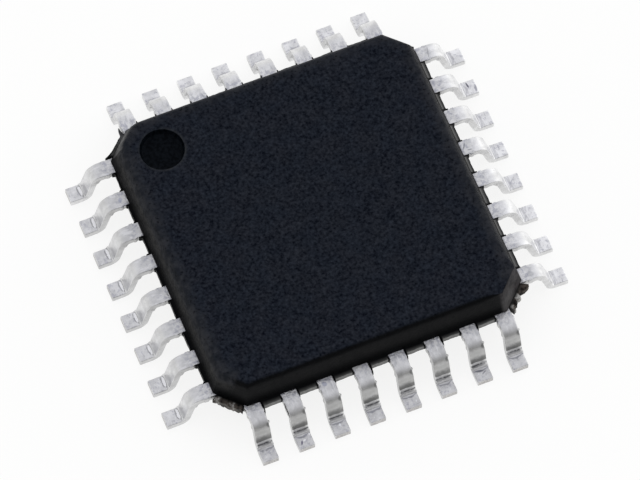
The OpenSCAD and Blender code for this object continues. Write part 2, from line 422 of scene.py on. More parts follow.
    # small dents near the root left when the resin was cleaned off
    dent = -0.0035 * smooth(0.35, 0.8, fbm(seedp, 0.035, 41)) * smooth(0.30, 0.06, Pn) * smooth(0.4, 0.9, hn)
    push = (wave * np.abs(hn) + crease + ridge + dent) * outside
    sole = (hn < 0) & (Pn > low0 + 0.1)
    push = np.where(sole, 0.0, push)
    sgn = np.where(hn >= 0, 1.0, -1.0)
    flat[:, 0] += np.sin(Tn) * push * sgn
    flat[:, 2] += np.cos(Tn) * push * sgn
    # sheared tip: upper edge rolled, face slightly torn
    tipd = path_tip - Pn
    shrink = np.where(tipd < 0.0201, 1.0, 0.0)
    r = 0.018
    inset = r - np.sqrt(np.maximum(r * r - np.maximum(r - tipd, 0) ** 2, 0))
    inset = np.where(tipd < r, inset, 0.0) * shrink
    cy = np.repeat(Y + TIP_SIDE[k - 1], npt)
    flat[:, 2] -= inset * np.clip(hn, 0, 1) * 0.9
    flat[:, 1] -= np.sign(ln) * inset * np.clip((np.abs(ln) - 0.8) / 0.2, 0, 1) * 0.5
    faces = []
    for j in range(ns - 1):
        o, q = j * npt, (j + 1) * npt
        for m in range(npt):
            m2 = (m + 1) % npt
            faces.append((o + m, q + m, q + m2, o + m2))
    allv = [flat]
    at_path, at_lat, at_h, at_tip = [Pn], [ln], [hn], [np.zeros(len(flat))]
    # caps: rings shrinking to a middle point
    for end in (0, 1):
        base = 0 if end == 0 else (ns - 1) * npt
        loop = flat[base:base + npt]
        centre = loop.mean(0)
        prev = base
        for f in (0.94, 0.72, 0.45, 0.2):
            ring = centre + (loop - centre) * f
            if end:
                ring = ring.copy()
                ring[:, 0] += 0.0025 * fbm(ring * [0, 1, 1] + [k, 0, 0], 0.03, 77)
            start = sum(len(x) for x in allv)
            allv.append(ring)
            at_path.append(np.full(npt, P[0] if end == 0 else path_tip))
            at_lat.append(ln[base:base + npt] * f)
            at_h.append(hn[base:base + npt] * f)
            at_tip.append(np.full(npt, float(end)))
            for m in range(npt):
                m2 = (m + 1) % npt
                q = (prev + m, start + m, start + m2, prev + m2)
                faces.append(q if end else q[::-1])
            prev = start
        start = sum(len(x) for x in allv)
        allv.append(centre[None, :])
        at_path.append(np.array([P[0] if end == 0 else path_tip]))
        at_lat.append(np.zeros(1))
        at_h.append(np.zeros(1))
        at_tip.append(np.array([float(end)]))
        for m in range(npt):
            m2 = (m + 1) % npt
            q = (prev + m, start, prev + m2)
            faces.append(q if end else q[::-1])
    if k == 10:
        # thin curl of metal raised along this lead's edge on the -X side
        n1, side_y = 26, -1
        base = sum(len(x) for x in allv)
        ring_pts = []
        for j in range(n1 + 1):
            f = j / n1
            p_at = 0.16 + 0.36 * f
            jj = int(np.argmin(np.abs(P - p_at)))
            off = 0.021 * math.sin(math.pi * f) ** 0.8 - 0.004
            hh = -0.005 - 0.018 * math.sin(math.pi * f)
            for dy, dh in ((0.0, 0.050), (-0.013, 0.040), (-0.013, -0.045), (0.0, -0.050)):
                ring_pts.append([
                    U[jj] + math.sin(T[jj]) * (hh + dh),
                    Y[jj] + side_y * (LEAD_W / 2 + off) + dy * -side_y * -1,
                    Z[jj] + math.cos(T[jj]) * (hh + dh),
                ])
        ring_pts = np.array(ring_pts)
        allv.append(ring_pts)
        cnt = len(ring_pts)
        at_path.append(np.full(cnt, 0.7))
        at_lat.append(np.full(cnt, -1.0))
        at_h.append(np.full(cnt, 0.6))
        at_tip.append(np.zeros(cnt))
        sub = []
        for j in range(n1):
            for m in range(4):
                m2 = (m + 1) % 4
                sub.append((base + j * 4 + m, base + (j + 1) * 4 + m, base + (j + 1) * 4 + m2, base + j * 4 + m2))
        sub.append(tuple(base + m for m in (3, 2, 1, 0)))
        sub.append(tuple(base + n1 * 4 + m for m in (0, 1, 2, 3)))
        av = np.concatenate(allv)
        vol = 0.0
        for f in sub:
            for j in range(1, len(f) - 1):
                vol += float(np.dot(av[f[0]], np.cross(av[f[j]], av[f[j + 1]])))
        volm = 0.0
        for f in faces:
            for j in range(1, len(f) - 1):
                volm += float(np.dot(av[f[0]], np.cross(av[f[j]], av[f[j + 1]])))
        if vol * volm < 0:
            sub = [tuple(reversed(f)) for f in sub]
        faces += sub
    v = turned(np.concatenate(allv), s)
    attrs = {
        "run": np.concatenate(at_path),
        "lat": np.concatenate(at_lat),
        "hgt": np.concatenate(at_h),
        "tip": np.concatenate(at_tip),
        "num": np.full(len(v), float(k)),
        "low": np.concatenate(at_path) - low0,
    }
    return make_mesh("pin_%02d" % k, v, faces, attrs, sharp=50.0)


leads = []
for k in range(1, 33):
    ob = lead_mesh(k)
    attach(ob, "root")
    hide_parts("lead_%02d" % k)
    leads.append(ob)


# ----------------------------------------------------------------------------------------------
# Moulded body: rings of one perimeter, from the bottom face up to the top face
# ----------------------------------------------------------------------------------------------
RC = 0.05  # rounding of the corners between the walls, in plan


def face_len(j, d):
    """half-length of wall j's flat stretch when the whole outline is moved in by d"""
    if j % 2 == 0:
        return math.sqrt(2) * (DIAG - d - RC) - (HALF - d - RC)
    return math.sqrt(2) * (HALF - d - RC) - (DIAG - d - RC)


def perimeter():
    """samples round the body: wall number, kind (0 flat, 1 corner arc), place along the wall or angle"""
    rows = []
    near = [0.03, 0.09, 0.14, 0.160, 0.170, 0.175, 0.180, 0.186, 0.193, 0.201, 0.210, 0.222, 0.240]
    for j in range(8):
        L = face_len(j, 0.0)
        if j % 2 == 0:
            vs = set()
            for i in range(8):
                a = (i - 3.5) * PITCH
                for d in near:
                    for e in (-1, 1):
                        vs.add(round(a + e * d, 5))
                if i < 7:
                    for q in range(1, 13):
                        vs.add(round(a + 0.24 + 0.32 * q / 13, 5))
            vs = sorted(v for v in vs if abs(v) < L - 0.004) + [L]
            vs = [-L] + vs
        else:
            vs = list(np.linspace(-L, L, 49))
        rows += [(j, 0, v) for v in vs]
        for q in range(1, 5):
            rows.append((j, 1, math.radians(45 * j + 45 * q / 5)))
    return rows


PER = perimeter()
NP = len(PER)
per_j = np.array([r[0] for r in PER])
per_kind = np.array([r[1] for r in PER])
per_v = np.array([r[2] for r in PER], float)


def ring_xy(delta):
    """plan points of the outline moved in by delta (one value a sample)"""
    delta = np.broadcast_to(np.asarray(delta, float), (NP,))
    ang = np.radians(45.0 * per_j)
    n = np.stack([np.cos(ang), np.sin(ang)], 1)
    t = np.stack([-np.sin(ang), np.cos(ang)], 1)
    dist = np.where(per_j % 2 == 0, HALF, DIAG)
    r2 = math.sqrt(2)
    Ld = np.where(
        per_j % 2 == 0,
        r2 * (DIAG - delta - RC) - (HALF - delta - RC),
        r2 * (HALF - delta - RC) - (DIAG - delta - RC),
    )
    L0 = np.where(per_j % 2 == 0, face_len(0, 0.0), face_len(1, 0.0))
    m = np.where(per_j % 2 == 0, 0.25, L0)
    av = np.abs(per_v)
    v = np.where(av <= L0 - m, per_v, np.sign(per_v) * ((L0 - m) + (av - (L0 - m)) * (Ld - (L0 - m)) / m))
    flat = n * (dist - delta)[:, None] + t * v[:, None]
    centre = n * (dist - delta - RC)[:, None] + t * Ld[:, None]
    arc = centre + RC * np.stack([np.cos(per_v), np.sin(per_v)], 1)
    return np.where((per_kind == 0)[:, None], flat, arc)


base_xy = ring_xy(0.0)
# distance to the nearest lead's edge (below 0 inside a lead's width), and which side of it
lead_d = np.full(NP, 9.0)
lead_side = np.zeros(NP)
side_of = np.full(NP, -1)
side_v = np.zeros(NP)
for s in range(4):
    a = math.radians(TURN[s])
    u = base_xy[:, 0] * math.cos(a) + base_xy[:, 1] * math.sin(a)
    v = -base_xy[:, 0] * math.sin(a) + base_xy[:, 1] * math.cos(a)
    near_side = u > 3.0
    for i in range(8):
        d = np.abs(v - (i - 3.5) * PITCH) - LEAD_W / 2
        pick = near_side & (d < lead_d)
        lead_d = np.where(pick, d, lead_d)
        lead_side = np.where(pick, np.sign(v - (i - 3.5) * PITCH), lead_side)
    on = u > HALF - 1e-6
    side_of = np.where(on, s, side_of)
    side_v = np.where(on, v, side_v)
diag_of = np.full(NP, -1)
diag_of = np.where((per_j % 2 == 1) & (side_of < 0), per_j, diag_of)
# local place along each slanted face, + towards the next wall anticlockwise
diag_v = np.zeros(NP)
for j in (1, 3, 5, 7):
    a = math.radians(45 * j)
    w = -base_xy[:, 0] * math.sin(a) + base_xy[:, 1] * math.cos(a)
    diag_v = np.where(diag_of == j, w, diag_v)

p0 = np.column_stack([base_xy, np.zeros(NP)])
# reach of the flash, side by side and gap by gap
gap_reach = {
    0: ([-2.4, -1.6, -0.8, 0, 0.8, 1.6, 2.4], [0.026, 0.052, 0.034, 0.056, 0.058, 0.070, 0.064]),
    1: ([-3.0, -2.4, 0, 2.4, 3.0], [0.138, 0.116, 0.104, 0.090, 0.086]),
    2: ([-2.4, -1.6, -0.8, 0, 0.8, 1.6, 2.4], [0.088, 0.066, 0.090, 0.072, 0.076, 0.072, 0.084]),
    3: ([-2.4, 0, 2.4], [0.115, 0.104, 0.094]),
}
# the left side's list runs along +v of the side's own frame, which points to -Y there
reach = np.full(NP, 0.08)
for s, (xs, ys) in gap_reach.items():
    r = np.interp(side_v, xs, ys)
    reach = np.where(side_of == s, r, reach)
slant = {1: 0.085, 3: 0.100, 5: 0.138, 7: 0.0}
for j, r in slant.items():
    reach = np.where(diag_of == j, r, reach)
gate_v = [-0.42, -0.36, -0.31, -0.26, -0.21, -0.185, -0.155, -0.11, -0.08, -0.06, -0.04, 0.00, 0.03, 0.05, 0.075, 0.10, 0.16, 0.24, 0.30, 0.35, 0.39]
gate_f = [0.060, 0.095, 0.140, 0.150, 0.140, 0.095, 0.130, 0.115, 0.065, 0.060, 0.115, 0.135, 0.130, 0.075, 0.060, 0.085, 0.150, 0.172, 0.176, 0.170, 0.130]
gate_tone = [0.30, 0.45, 0.75, 0.80, 0.60, 0.05, 0.02, 0.02, 0.10, 0.65, 1.05, 1.05, 0.95, 0.60, 0.20, 0.22, 0.24, 0.30, 0.36, 0.36, 0.25]
reach = np.where(diag_of == 7, np.interp(diag_v, gate_v, gate_f), reach)
reach = np.where(diag_of == 3, np.interp(diag_v, [-0.30, -0.22, 0.12, 0.24, 0.30], [0.045, 0.058, 0.066, 0.090, 0.120]), reach)
reach = reach * (1 + 0.10 * fbm(p0, 0.25, 3)) + 0.006 * fbm(p0, 0.05, 4)
reach = np.where(diag_of == 5, reach + 0.022 * fbm(p0, 0.07, 11) + 0.012 * fbm(p0, 0.03, 12), reach)
reach = np.where(diag_of == 7, reach + 0.010 * fbm(p0, 0.05, 13), reach)
tone = np.where(diag_of == 7, np.interp(diag_v, gate_v, gate_tone), 0.0)
tone = np.where(diag_of == 5, 0.50 + 0.45 * fbm(p0, 0.10, 25) - 0.30 * smooth(0.05, 0.35, diag_v) - 0.35 * smooth(-0.25, -0.38, diag_v), tone)
tone = np.clip(tone, 0, 1)
# thin resin spurs that ran out beside the leads
spur_len = np.zeros(NP)
spur_len = np.where((side_of == 1) & (lead_side > 0), 0.20, spur_len)
spur_len = np.where((side_of == 1) & (lead_side < 0), 0.10, spur_len)
spur_len = np.where(side_of == 0, 0.105, spur_len)
spur_len = np.where(side_of == 2, 0.115, spur_len)
spur_len = np.where(side_of == 3, 0.135, spur_len)
spur_w = np.where((side_of == 1) & (lead_side > 0), 0.030, 0.020)
vary = 1 + 0.35 * vnoise(np.round(p0 / 0.8) * 0.8 + 0.3, 0.37, 21)
spur = spur_len * vary * (1 - smooth(spur_w, spur_w + 0.014, lead_d)) * (lead_d > -0.002)
reach = np.maximum(reach, spur)
inside_lead = smooth(0.000, -0.006, lead_d)
reach = reach * (1 - inside_lead) + 0.004 * inside_lead
reach = np.maximum(reach, 0.003)

fracture = np.where(diag_of == 7, 1.0, 0.0) + np.where(diag_of == 5, 0.75, 0.0)
fracture = fracture * smooth(0.0, 0.02, lead_d)
tear_size = np.where(diag_of == 7, 0.45 + 0.75 * smooth(0.08, 0.02, diag_v), 1.0)

# resin drawn out along the edges of the two leads beside the index corner
pull = np.zeros((NP, 2))
near_lead = (1 - smooth(0.012, 0.050, lead_d)) * (lead_d > -0.002) * (diag_of == 3)
pull[:, 0] = np.where(diag_v > 0, -0.038, -0.024) * near_lead
pull[:, 1] = np.where(diag_v > 0, -0.020, 0.150) * near_lead

# the upright edges by the index recess are a little rounded above the lead frame
upright = np.array([(-HALF, HALF - CUT), (-HALF + CUT, HALF)])
to_upright = np.min(np.hypot(base_xy[:, None, 0] - upright[None, :, 0], base_xy[:, None, 1] - upright[None, :, 1]), axis=1)
soft_corner = 0.034 * np.exp(-((to_upright / 0.12) ** 2))

rings, ring_fl, ring_wall = [], [], []


def add_ring(delta, z, fl=0.0, wall=0.0, rough=0.0025, z_rough=0.0, seed=0, drawn=0.0):
    """one ring of the skin, with a little relief of its own"""
    delta = np.broadcast_to(np.asarray(delta, float), (NP,)).copy()
    z = np.broadcast_to(np.asarray(z, float), (NP,)).copy()
    xy = ring_xy(delta)
    p = np.column_stack([xy, z])
    relief = rough * fbm(p, 0.16, 51) + 0.4 * rough * fbm(p, 0.05, 52)
    tear = tear_size * fracture * smooth(0.02, 0.06, -delta) * (0.030 * fbm(p * [1, 1, 1.6] + seed, 0.055, 60 + seed) + 0.018 * fbm(p + seed, 0.025, 90 + seed))
    xy = ring_xy(delta - relief - tear + soft_corner * smooth(0.86, 1.15, z)) + drawn * pull
    z = z + z_rough * fbm(p, 0.06, 53)
    rings.append(np.column_stack([xy, z]))
    ring_fl.append(np.broadcast_to(np.asarray(fl, float), (NP,)))
    ring_wall.append(np.full(NP, wall))


def edge_centre(h):
    return HALF - (h - EDGE_R) * D_TAN - EDGE_R * D_HYP / 24


cx_low = edge_centre(0.612)
a0 = math.atan(D_TAN)
for q in range(8):  # rounded lower edge
    al = math.radians(90) + (a0 - math.radians(90)) * q / 7
    add_ring(HALF - (cx_low + EDGE_R * math.cos(al)), BOT + EDGE_R - EDGE_R * math.sin(al), rough=0.0 if q == 0 else 0.002)
z_edge = BOT + EDGE_R - EDGE_R * math.sin(a0)
for q in range(1, 7):
    z = z_edge + (LF_BOT - 0.008 - z_edge) * q / 7
    add_ring((LF_BOT - z) * D_TAN, z, wall=1.0)
fl_side = np.where(side_of == 1, 1.0, np.where(side_of == 0, 0.25, 0.6))
fl_side = np.where(diag_of == 5, 0.9, fl_side)
fl_side = np.where(diag_of == 7, 0.75, fl_side)
fl_side = np.where(diag_of == 3, 0.04, fl_side)
fl_side = np.where(diag_of == 1, 0.5, fl_side)
# the spurs stay dark
fl_side = fl_side * smooth(0.020, 0.045, lead_d)
thin = np.clip(reach / 0.05, 0.1, 1.0)
mid = LEAD_Z
ht = (LEAD_T / 2) * (0.35 + 0.65 * thin)
ht = ht + np.where(diag_of == 7, 0.020 + 0.012 * fbm(p0, 0.06, 15), 0.0) + np.where(diag_of == 5, 0.012, 0.0)
ht = ht * (1 + 0.06 * fbm(p0, 0.12, 16))
add_ring(0.0, LF_BOT - 0.006, wall=1.0)
add_ring(-0.18 * reach, mid - ht - 0.002, rough=0.001)
add_ring(-0.60 * reach, mid - ht, rough=0.001, seed=1, drawn=0.35)
add_ring(-0.955 * reach, mid - ht + 0.002, rough=0.001, seed=2, drawn=0.9)
add_ring(-1.0 * reach, mid - ht * 0.90, fl=fl_side, rough=0.0015, seed=3, drawn=1.0)
add_ring(-1.01 * reach, mid - ht * 0.55, fl=fl_side, rough=0.002, seed=4, drawn=1.0)
add_ring(-1.02 * reach, mid - ht * 0.18, fl=fl_side, rough=0.002, seed=5, drawn=1.0)
add_ring(-1.02 * reach, mid + ht * 0.18, fl=fl_side, rough=0.002, seed=6, drawn=1.0)
add_ring(-1.01 * reach, mid + ht * 0.55, fl=fl_side, rough=0.002, seed=7, drawn=1.0)
add_ring(-1.0 * reach, mid + ht * 0.88, fl=fl_side, rough=0.0015, seed=8, drawn=1.0)
# painted light: on the +X and +Y sides the flash's top and the foot of the wall above it are coloured pale, as lit; the
# slanted faces get paler ledges of their own
far = ((side_of == 2) | (side_of == 3)) * smooth(0.020, 0.045, lead_d)
ledge = np.where((side_of == 2) | (side_of == 3), 0.42, 0.0)
ledge = np.where(diag_of == 3, 0.20, ledge)
ledge = np.where(diag_of == 7, 0.10, ledge)
ledge = np.where(diag_of == 1, 0.30, ledge) * smooth(0.020, 0.045, lead_d)
brow = np.where(side_of == 1, 0.34, 0.0) * smooth(0.020, 0.045, lead_d)
add_ring(-0.955 * reach, mid + ht - 0.001, fl=brow, rough=0.001, z_rough=0.002, seed=9, drawn=0.9)
add_ring(-0.60 * reach, mid + ht + 0.001, fl=ledge * 0.60 + brow * 0.35, rough=0.001, z_rough=0.003, seed=10, drawn=0.35)
add_ring(-0.18 * reach, mid + ht + 0.003, fl=np.maximum(ledge, 0.72 * far), rough=0.001, z_rough=0.002, seed=11)
add_ring(0.0, LF_TOP + 0.010, fl=np.maximum(ledge * 0.5, 0.62 * far), wall=1.0)
cx_top = edge_centre(0.624)
# the wall turns over into the top face from here, worn softer than the tool's edge except over the gate,
# where the corner also stands a little steeper
tight = smooth(4.16, 4.46, (base_xy[:, 0] - base_xy[:, 1]) / math.sqrt(2))
steeper = 1 - 0.24 * tight
z_turn = 1.20 + 0.15 * tight
for q in range(1, 9):
    z = LF_TOP + 0.010 + (z_turn - LF_TOP - 0.010) * q / 8
    add_ring((z - LF_TOP) * D_TAN * steeper, z, fl=(0.22 if q == 1 else 0.0) * far, wall=1.0, rough=0.003)
d_turn, d_sharp = (z_turn - LF_TOP) * D_TAN * steeper, (TOP - LF_TOP) * D_TAN * steeper
d_flat = (HALF - edge_centre(0.624)) * (1 - tight) + 0.158 * tight
for q in range(1, 13):
    f = q / 12
    dd = (1 - f) ** 2 * d_turn + 2 * f * (1 - f) * d_sharp + f * f * d_flat
    zz = (1 - f) ** 2 * z_turn + 2 * f * (1 - f) * TOP + f * f * TOP
    add_ring(dd, zz, wall=1.0 - f, rough=0.0 if q == 12 else 0.0025)

NR = len(rings)
bverts = [np.concatenate(rings)]
b_fl = [np.concatenate(ring_fl)]
bfaces = []
for r in range(NR - 1):
    o, q = r * NP, (r + 1) * NP
    for m in range(NP):
        m2 = (m + 1) % NP
        bfaces.append((o + m, o + m2, q + m2, q + m))


def fill(loop_index, z, spacing, up_side, hole=None, relief=0.0, seed=0):
    """closes a flat face inside a ring: triangles on a fine jittered lattice, with a round hole if given"""
    global bverts, bfaces, b_fl
    allp = np.concatenate(bverts)
    loop = allp[loop_index][:, :2]
    n0 = len(allp)
    rng = np.random.RandomState(40 + seed)
    hmax = np.abs(loop).max() - 0.04
    g = np.arange(-hmax, hmax + 1e-9, spacing)
    gx, gy = np.meshgrid(g, g)
    pts = np.column_stack([gx.ravel(), gy.ravel()]) + rng.uniform(-0.22, 0.22, (gx.size, 2)) * spacing
    diag_max = np.abs(loop @ np.array([1, 1]) / math.sqrt(2)).max() - 0.04
    keep = (np.abs(pts).max(1) < hmax) & (np.abs(pts[:, 0] + pts[:, 1]) / math.sqrt(2) < diag_max) & (np.abs(pts[:, 0] - pts[:, 1]) / math.sqrt(2) < diag_max)
    hole_xy = None
    if hole is not None:
        cxy, rad, n = hole
        keep &= np.hypot(pts[:, 0] - cxy[0], pts[:, 1] - cxy[1]) > rad + 0.5 * spacing
        ang = 2 * np.pi * np.arange(n) / n
        hole_xy = np.column_stack([cxy[0] + rad * np.cos(ang), cxy[1] + rad * np.sin(ang)])
    pts = pts[keep]
    coords = [Vector(p) for p in loop]
    edges = [(i, (i + 1) % len(loop)) for i in range(len(loop))]
    if hole_xy is not None:
        o = len(coords)
        coords += [Vector(p) for p in hole_xy]
        edges += [(o + i, o + (i + 1) % n) for i in range(n)]
    coords += [Vector(p) for p in pts]
    out = delaunay_2d_cdt(coords, edges, [], 1, 1e-7)
    ov, _, of_, orig = out[0], out[1], out[2], out[3]
    where = {}
    new_pts = []
    for i, src in enumerate(orig):
        first = src[0] if src else -1
        if 0 <= first < len(loop):
            where[i] = int(loop_index[first])
        else:
            where[i] = n0 + len(new_pts)
            new_pts.append((ov[i][0], ov[i][1]))
    new_pts = np.array(new_pts)
    p3 = np.column_stack([new_pts, np.full(len(new_pts), z)])
    edge_fade = smooth(0.0, 0.12, np.abs(loop).max() - np.abs(new_pts).max(1))
    if hole is not None:
        edge_fade = edge_fade * smooth(rad, rad + 0.1, np.hypot(new_pts[:, 0] - cxy[0], new_pts[:, 1] - cxy[1]))
    if relief:
        p3[:, 2] += relief * edge_fade * (fbm(p3, 0.13, 71 + seed) + 0.5 * fbm(p3, 1.1, 72 + seed) - 0.5)
    bverts.append(p3)
    b_fl.append(np.zeros(len(p3)))
    hole_ids = None
    if hole is not None:
        hole_ids = []
        look = {tuple(np.round(p, 6)): i for i, p in enumerate(new_pts)}
        for p in hole_xy:
            d = np.hypot(new_pts[:, 0] - p[0], new_pts[:, 1] - p[1])
            hole_ids.append(n0 + int(np.argmin(d)))
    for f in of_:
        c = np.mean([[ov[i][0], ov[i][1]] for i in f], axis=0)
        if hole is not None and math.hypot(c[0] - cxy[0], c[1] - cxy[1]) < rad * 0.9985:
            continue
        ids = [where[i] for i in f]
        a, b_, c_ = (np.array(ov[i]) for i in f[:3])
        ccw = (b_[0] - a[0]) * (c_[1] - a[1]) - (b_[1] - a[1]) * (c_[0] - a[0]) > 0
        if ccw != up_side:
            ids = ids[::-1]
        bfaces.append(tuple(ids))
    return hole_ids


fill(np.arange(NP), BOT, 0.16, False, None, 0.001, 1)
NH = 96
hole_r = INDEX_R + 0.020
ids = fill(np.arange((NR - 1) * NP, NR * NP), TOP, 0.060, True, ((-INDEX_POS, INDEX_POS), hole_r, NH), 0.0016, 2)
ang = 2 * np.pi * np.arange(NH) / NH
prev = ids
for rad, dz in (
    (0.483, 0.0012), (0.477, 0.0045), (0.4715, 0.011), (0.467, 0.021), (0.4585, 0.042), (0.450, 0.064),
    (0.4415, 0.085), (0.434, 0.101), (0.427, 0.110), (0.418, 0.1160), (0.405, 0.1190), (0.385, 0.1200),
):
    start = sum(len(x) for x in bverts)
    ring = np.column_stack([-INDEX_POS + rad * np.cos(ang), INDEX_POS + rad * np.sin(ang), np.full(NH, TOP - dz)])
    ring[:, :2] += (0.0012 * fbm(ring, 0.09, 81))[:, None] * np.column_stack([np.cos(ang), np.sin(ang)])
    bverts.append(ring)
    b_fl.append(np.zeros(NH))
    for m in range(NH):
        m2 = (m + 1) % NH
        bfaces.append((prev[m], prev[m2], start + m2, start + m))
    prev = [start + m for m in range(NH)]
for rad in (0.33, 0.27, 0.20, 0.13, 0.06):
    start = sum(len(x) for x in bverts)
    ring = np.column_stack([-INDEX_POS + rad * np.cos(ang), INDEX_POS + rad * np.sin(ang), np.full(NH, TOP - 0.12)])
    ring[:, 2] += 0.0012 * fbm(ring, 0.10, 83)
    bverts.append(ring)
    b_fl.append(np.zeros(NH))
    for m in range(NH):
        m2 = (m + 1) % NH
        bfaces.append((prev[m], prev[m2], start + m2, start + m))
    prev = [start + m for m in range(NH)]
start = sum(len(x) for x in bverts)
bverts.append(np.array([[-INDEX_POS, INDEX_POS, TOP - 0.12]]))
b_fl.append(np.zeros(1))
for m in range(NH):
    bfaces.append((prev[m], prev[(m + 1) % NH], start))
bv = np.concatenate(bverts)
frac = np.zeros(len(bv))
frac[: NR * NP] = np.tile(fracture, NR) * smooth(0.02, 0.05, np.concatenate([np.hypot(*(r[:, :2] - base_xy).T) for r in rings])) * (np.abs(bv[: NR * NP, 2] - LEAD_Z) < 0.13)
tones = np.zeros(len(bv))
tones[: NR * NP] = np.tile(tone, NR)
out_by = np.zeros(len(bv))  # how far a point stands out from the wall, 0 to 1 over 0.1 mm
out_by[: NR * NP] = np.clip(np.concatenate([np.hypot(*(r[:, :2] - base_xy).T) for r in rings]) / 0.1, 0, 1) * (np.abs(bv[: NR * NP, 2] - LEAD_Z) < 0.13)
corner = np.zeros(len(bv))  # 1 on the slanted face at the gate, -1 on the one beside the index recess
corner[: NR * NP] = np.tile(smooth(4.40, 4.50, (base_xy[:, 0] - base_xy[:, 1]) / math.sqrt(2)) - np.where(diag_of == 3, 1.0, 0.0), NR)
body = make_mesh("moulding", bv, bfaces, {"flash": np.concatenate(b_fl), "torn": frac, "tone": tones, "out": out_by, "corner": corner}, sharp=55.0)
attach(body, "root")
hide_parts("mould_body")


# ----------------------------------------------------------------------------------------------
# Bond wires: smooth gold loops with a squashed ball on the pad and a wedge on the lead
# ----------------------------------------------------------------------------------------------
DIE_TOP = 0.9296


def bezier(p, n):
    """smooth path through the points p"""
    p = np.asarray(p, float)
    ext = np.vstack([2 * p[0] - p[1], p, 2 * p[-1] - p[-2]])
    out = []
    for i in range(1, len(ext) - 2):
        a, b_, c, d = ext[i - 1:i + 3]
        for j in range(n):
            t = j / n
            out.append(0.5 * (2 * b_ + (c - a) * t + (2 * a - 5 * b_ + 4 * c - d) * t * t + (3 * b_ - a - 3 * c + d) * t**3))
    out.append(p[-1])
    return np.array(out)


def wire_group(s):
    verts, faces = [], []
    ball = []
    for i in range(8):
        p = np.array([1.10, (i - 3.5) * 0.26])
        q = np.array([1.975, (i - 3.5) * 0.40])
        run = np.linalg.norm(q - p)
        d = (q - p) / run
        prof = [
            (0.0, DIE_TOP + 0.012), (0.0, DIE_TOP + 0.06), (0.004, DIE_TOP + 0.12), (0.045, DIE_TOP + 0.150),
            (0.16, DIE_TOP + 0.146), (0.30 * run + 0.05, DIE_TOP + 0.134), (0.62 * run, DIE_TOP + 0.045),
            (0.86 * run, LF_TOP + 0.045), (0.97 * run, LF_TOP + 0.016), (run + 0.02, LF_TOP + 0.0085),
        ]
        path = bezier(prof, 5)
        m = len(path)
        tan = np.gradient(path, axis=0)
        tan /= np.linalg.norm(tan, axis=1)[:, None]
        base = sum(len(x) for x in verts)
        ring = []
        nseg = 12
        for j in range(m):
            r = 0.0125
            nx, nz = -tan[j][1], tan[j][0]
            squash = 1.0 - 0.45 * smooth(m - 8, m - 1, j)
            for g in range(nseg):
                al = 2 * math.pi * g / nseg
                c, sn = math.cos(al) * r * squash, math.sin(al) * r * (2 - squash)
                x = path[j][0] + nx * c
                z = path[j][1] + nz * c
                ring.append([p[0] + d[0] * x - d[1] * sn, p[1] + d[1] * x + d[0] * sn, z])
        verts.append(np.array(ring))
        ball.append(np.zeros(len(ring)))
        for j in range(m - 1):
            for g in range(nseg):
                g2 = (g + 1) % nseg
                faces.append((base + j * nseg + g, base + j * nseg + g2, base + (j + 1) * nseg + g2, base + (j + 1) * nseg + g))
        faces.append(tuple(base + g for g in range(nseg))[::-1])
        faces.append(tuple(base + (m - 1) * nseg + g for g in range(nseg)))
        # ball: lathe profile
        for centre, prof2 in (
            (np.array([p[0], p[1], DIE_TOP]), [(0.0, 0.0), (0.030, 0.0), (0.0365, 0.004), (0.0375, 0.009), (0.034, 0.0145), (0.026, 0.0165), (0.018, 0.019), (0.0145, 0.026), (0.0, 0.028)]),
        ):
            nb = 28
            rows = []
            base = sum(len(x) for x in verts)
            pts = [centre + np.array([0, 0, prof2[0][1]])]
            for r, z in prof2[1:-1]:
                for g in range(nb):
                    al = 2 * math.pi * g / nb
                    pts.append(centre + np.array([r * math.cos(al), r * math.sin(al), z]))
            pts.append(centre + np.array([0, 0, prof2[-1][1]]))
            verts.append(np.array(pts))
            ball.append(np.ones(len(pts)))
            nr = len(prof2) - 2
            for g in range(nb):
                g2 = (g + 1) % nb
                faces.append((base, base + 1 + g2, base + 1 + g))
                for r_ in range(nr - 1):
                    o1, o2 = base + 1 + r_ * nb, base + 1 + (r_ + 1) * nb
                    faces.append((o1 + g, o1 + g2, o2 + g2, o2 + g))
                o1 = base + 1 + (nr - 1) * nb
                faces.append((o1 + g, o1 + g2, base + len(pts) - 1))
        # wedge: a flattened fish-tail on the lead's tip
        base = sum(len(x) for x in verts)
        nb, pts = 24, []
        w0 = q + d * 0.004
        for z, sc in ((0.0, 1.0), (0.006, 0.97), (0.0105, 0.80), (0.012, 0.45)):
            for g in range(nb):
                al = 2 * math.pi * g / nb
                ex, ey = 0.034 * math.cos(al) * sc, 0.027 * math.sin(al) * sc * (1 + 0.25 * math.cos(al))
                pts.append([w0[0] + d[0] * ex - d[1] * ey, w0[1] + d[1] * ex + d[0] * ey, LF_TOP + z])
        verts.append(np.array(pts))
        ball.append(np.ones(len(pts)))
        for r_ in range(3):
            for g in range(nb):
                g2 = (g + 1) % nb
                faces.append((base + r_ * nb + g, base + r_ * nb + g2, base + (r_ + 1) * nb + g2, base + (r_ + 1) * nb + g))
        faces.append(tuple(base + g for g in range(nb))[::-1])
        faces.append(tuple(base + 3 * nb + g for g in range(nb)))
    v = turned(np.concatenate(verts), s)
    return make_mesh("wires_%s" % NAMES[s], v, faces, {"ball": np.concatenate(ball)}, sharp=50.0)


wires = []
for s in range(4):
    ob = wire_group(s)
    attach(ob, "root")
    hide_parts("bond_wires_%s" % NAMES[s])
    wires.append(ob)


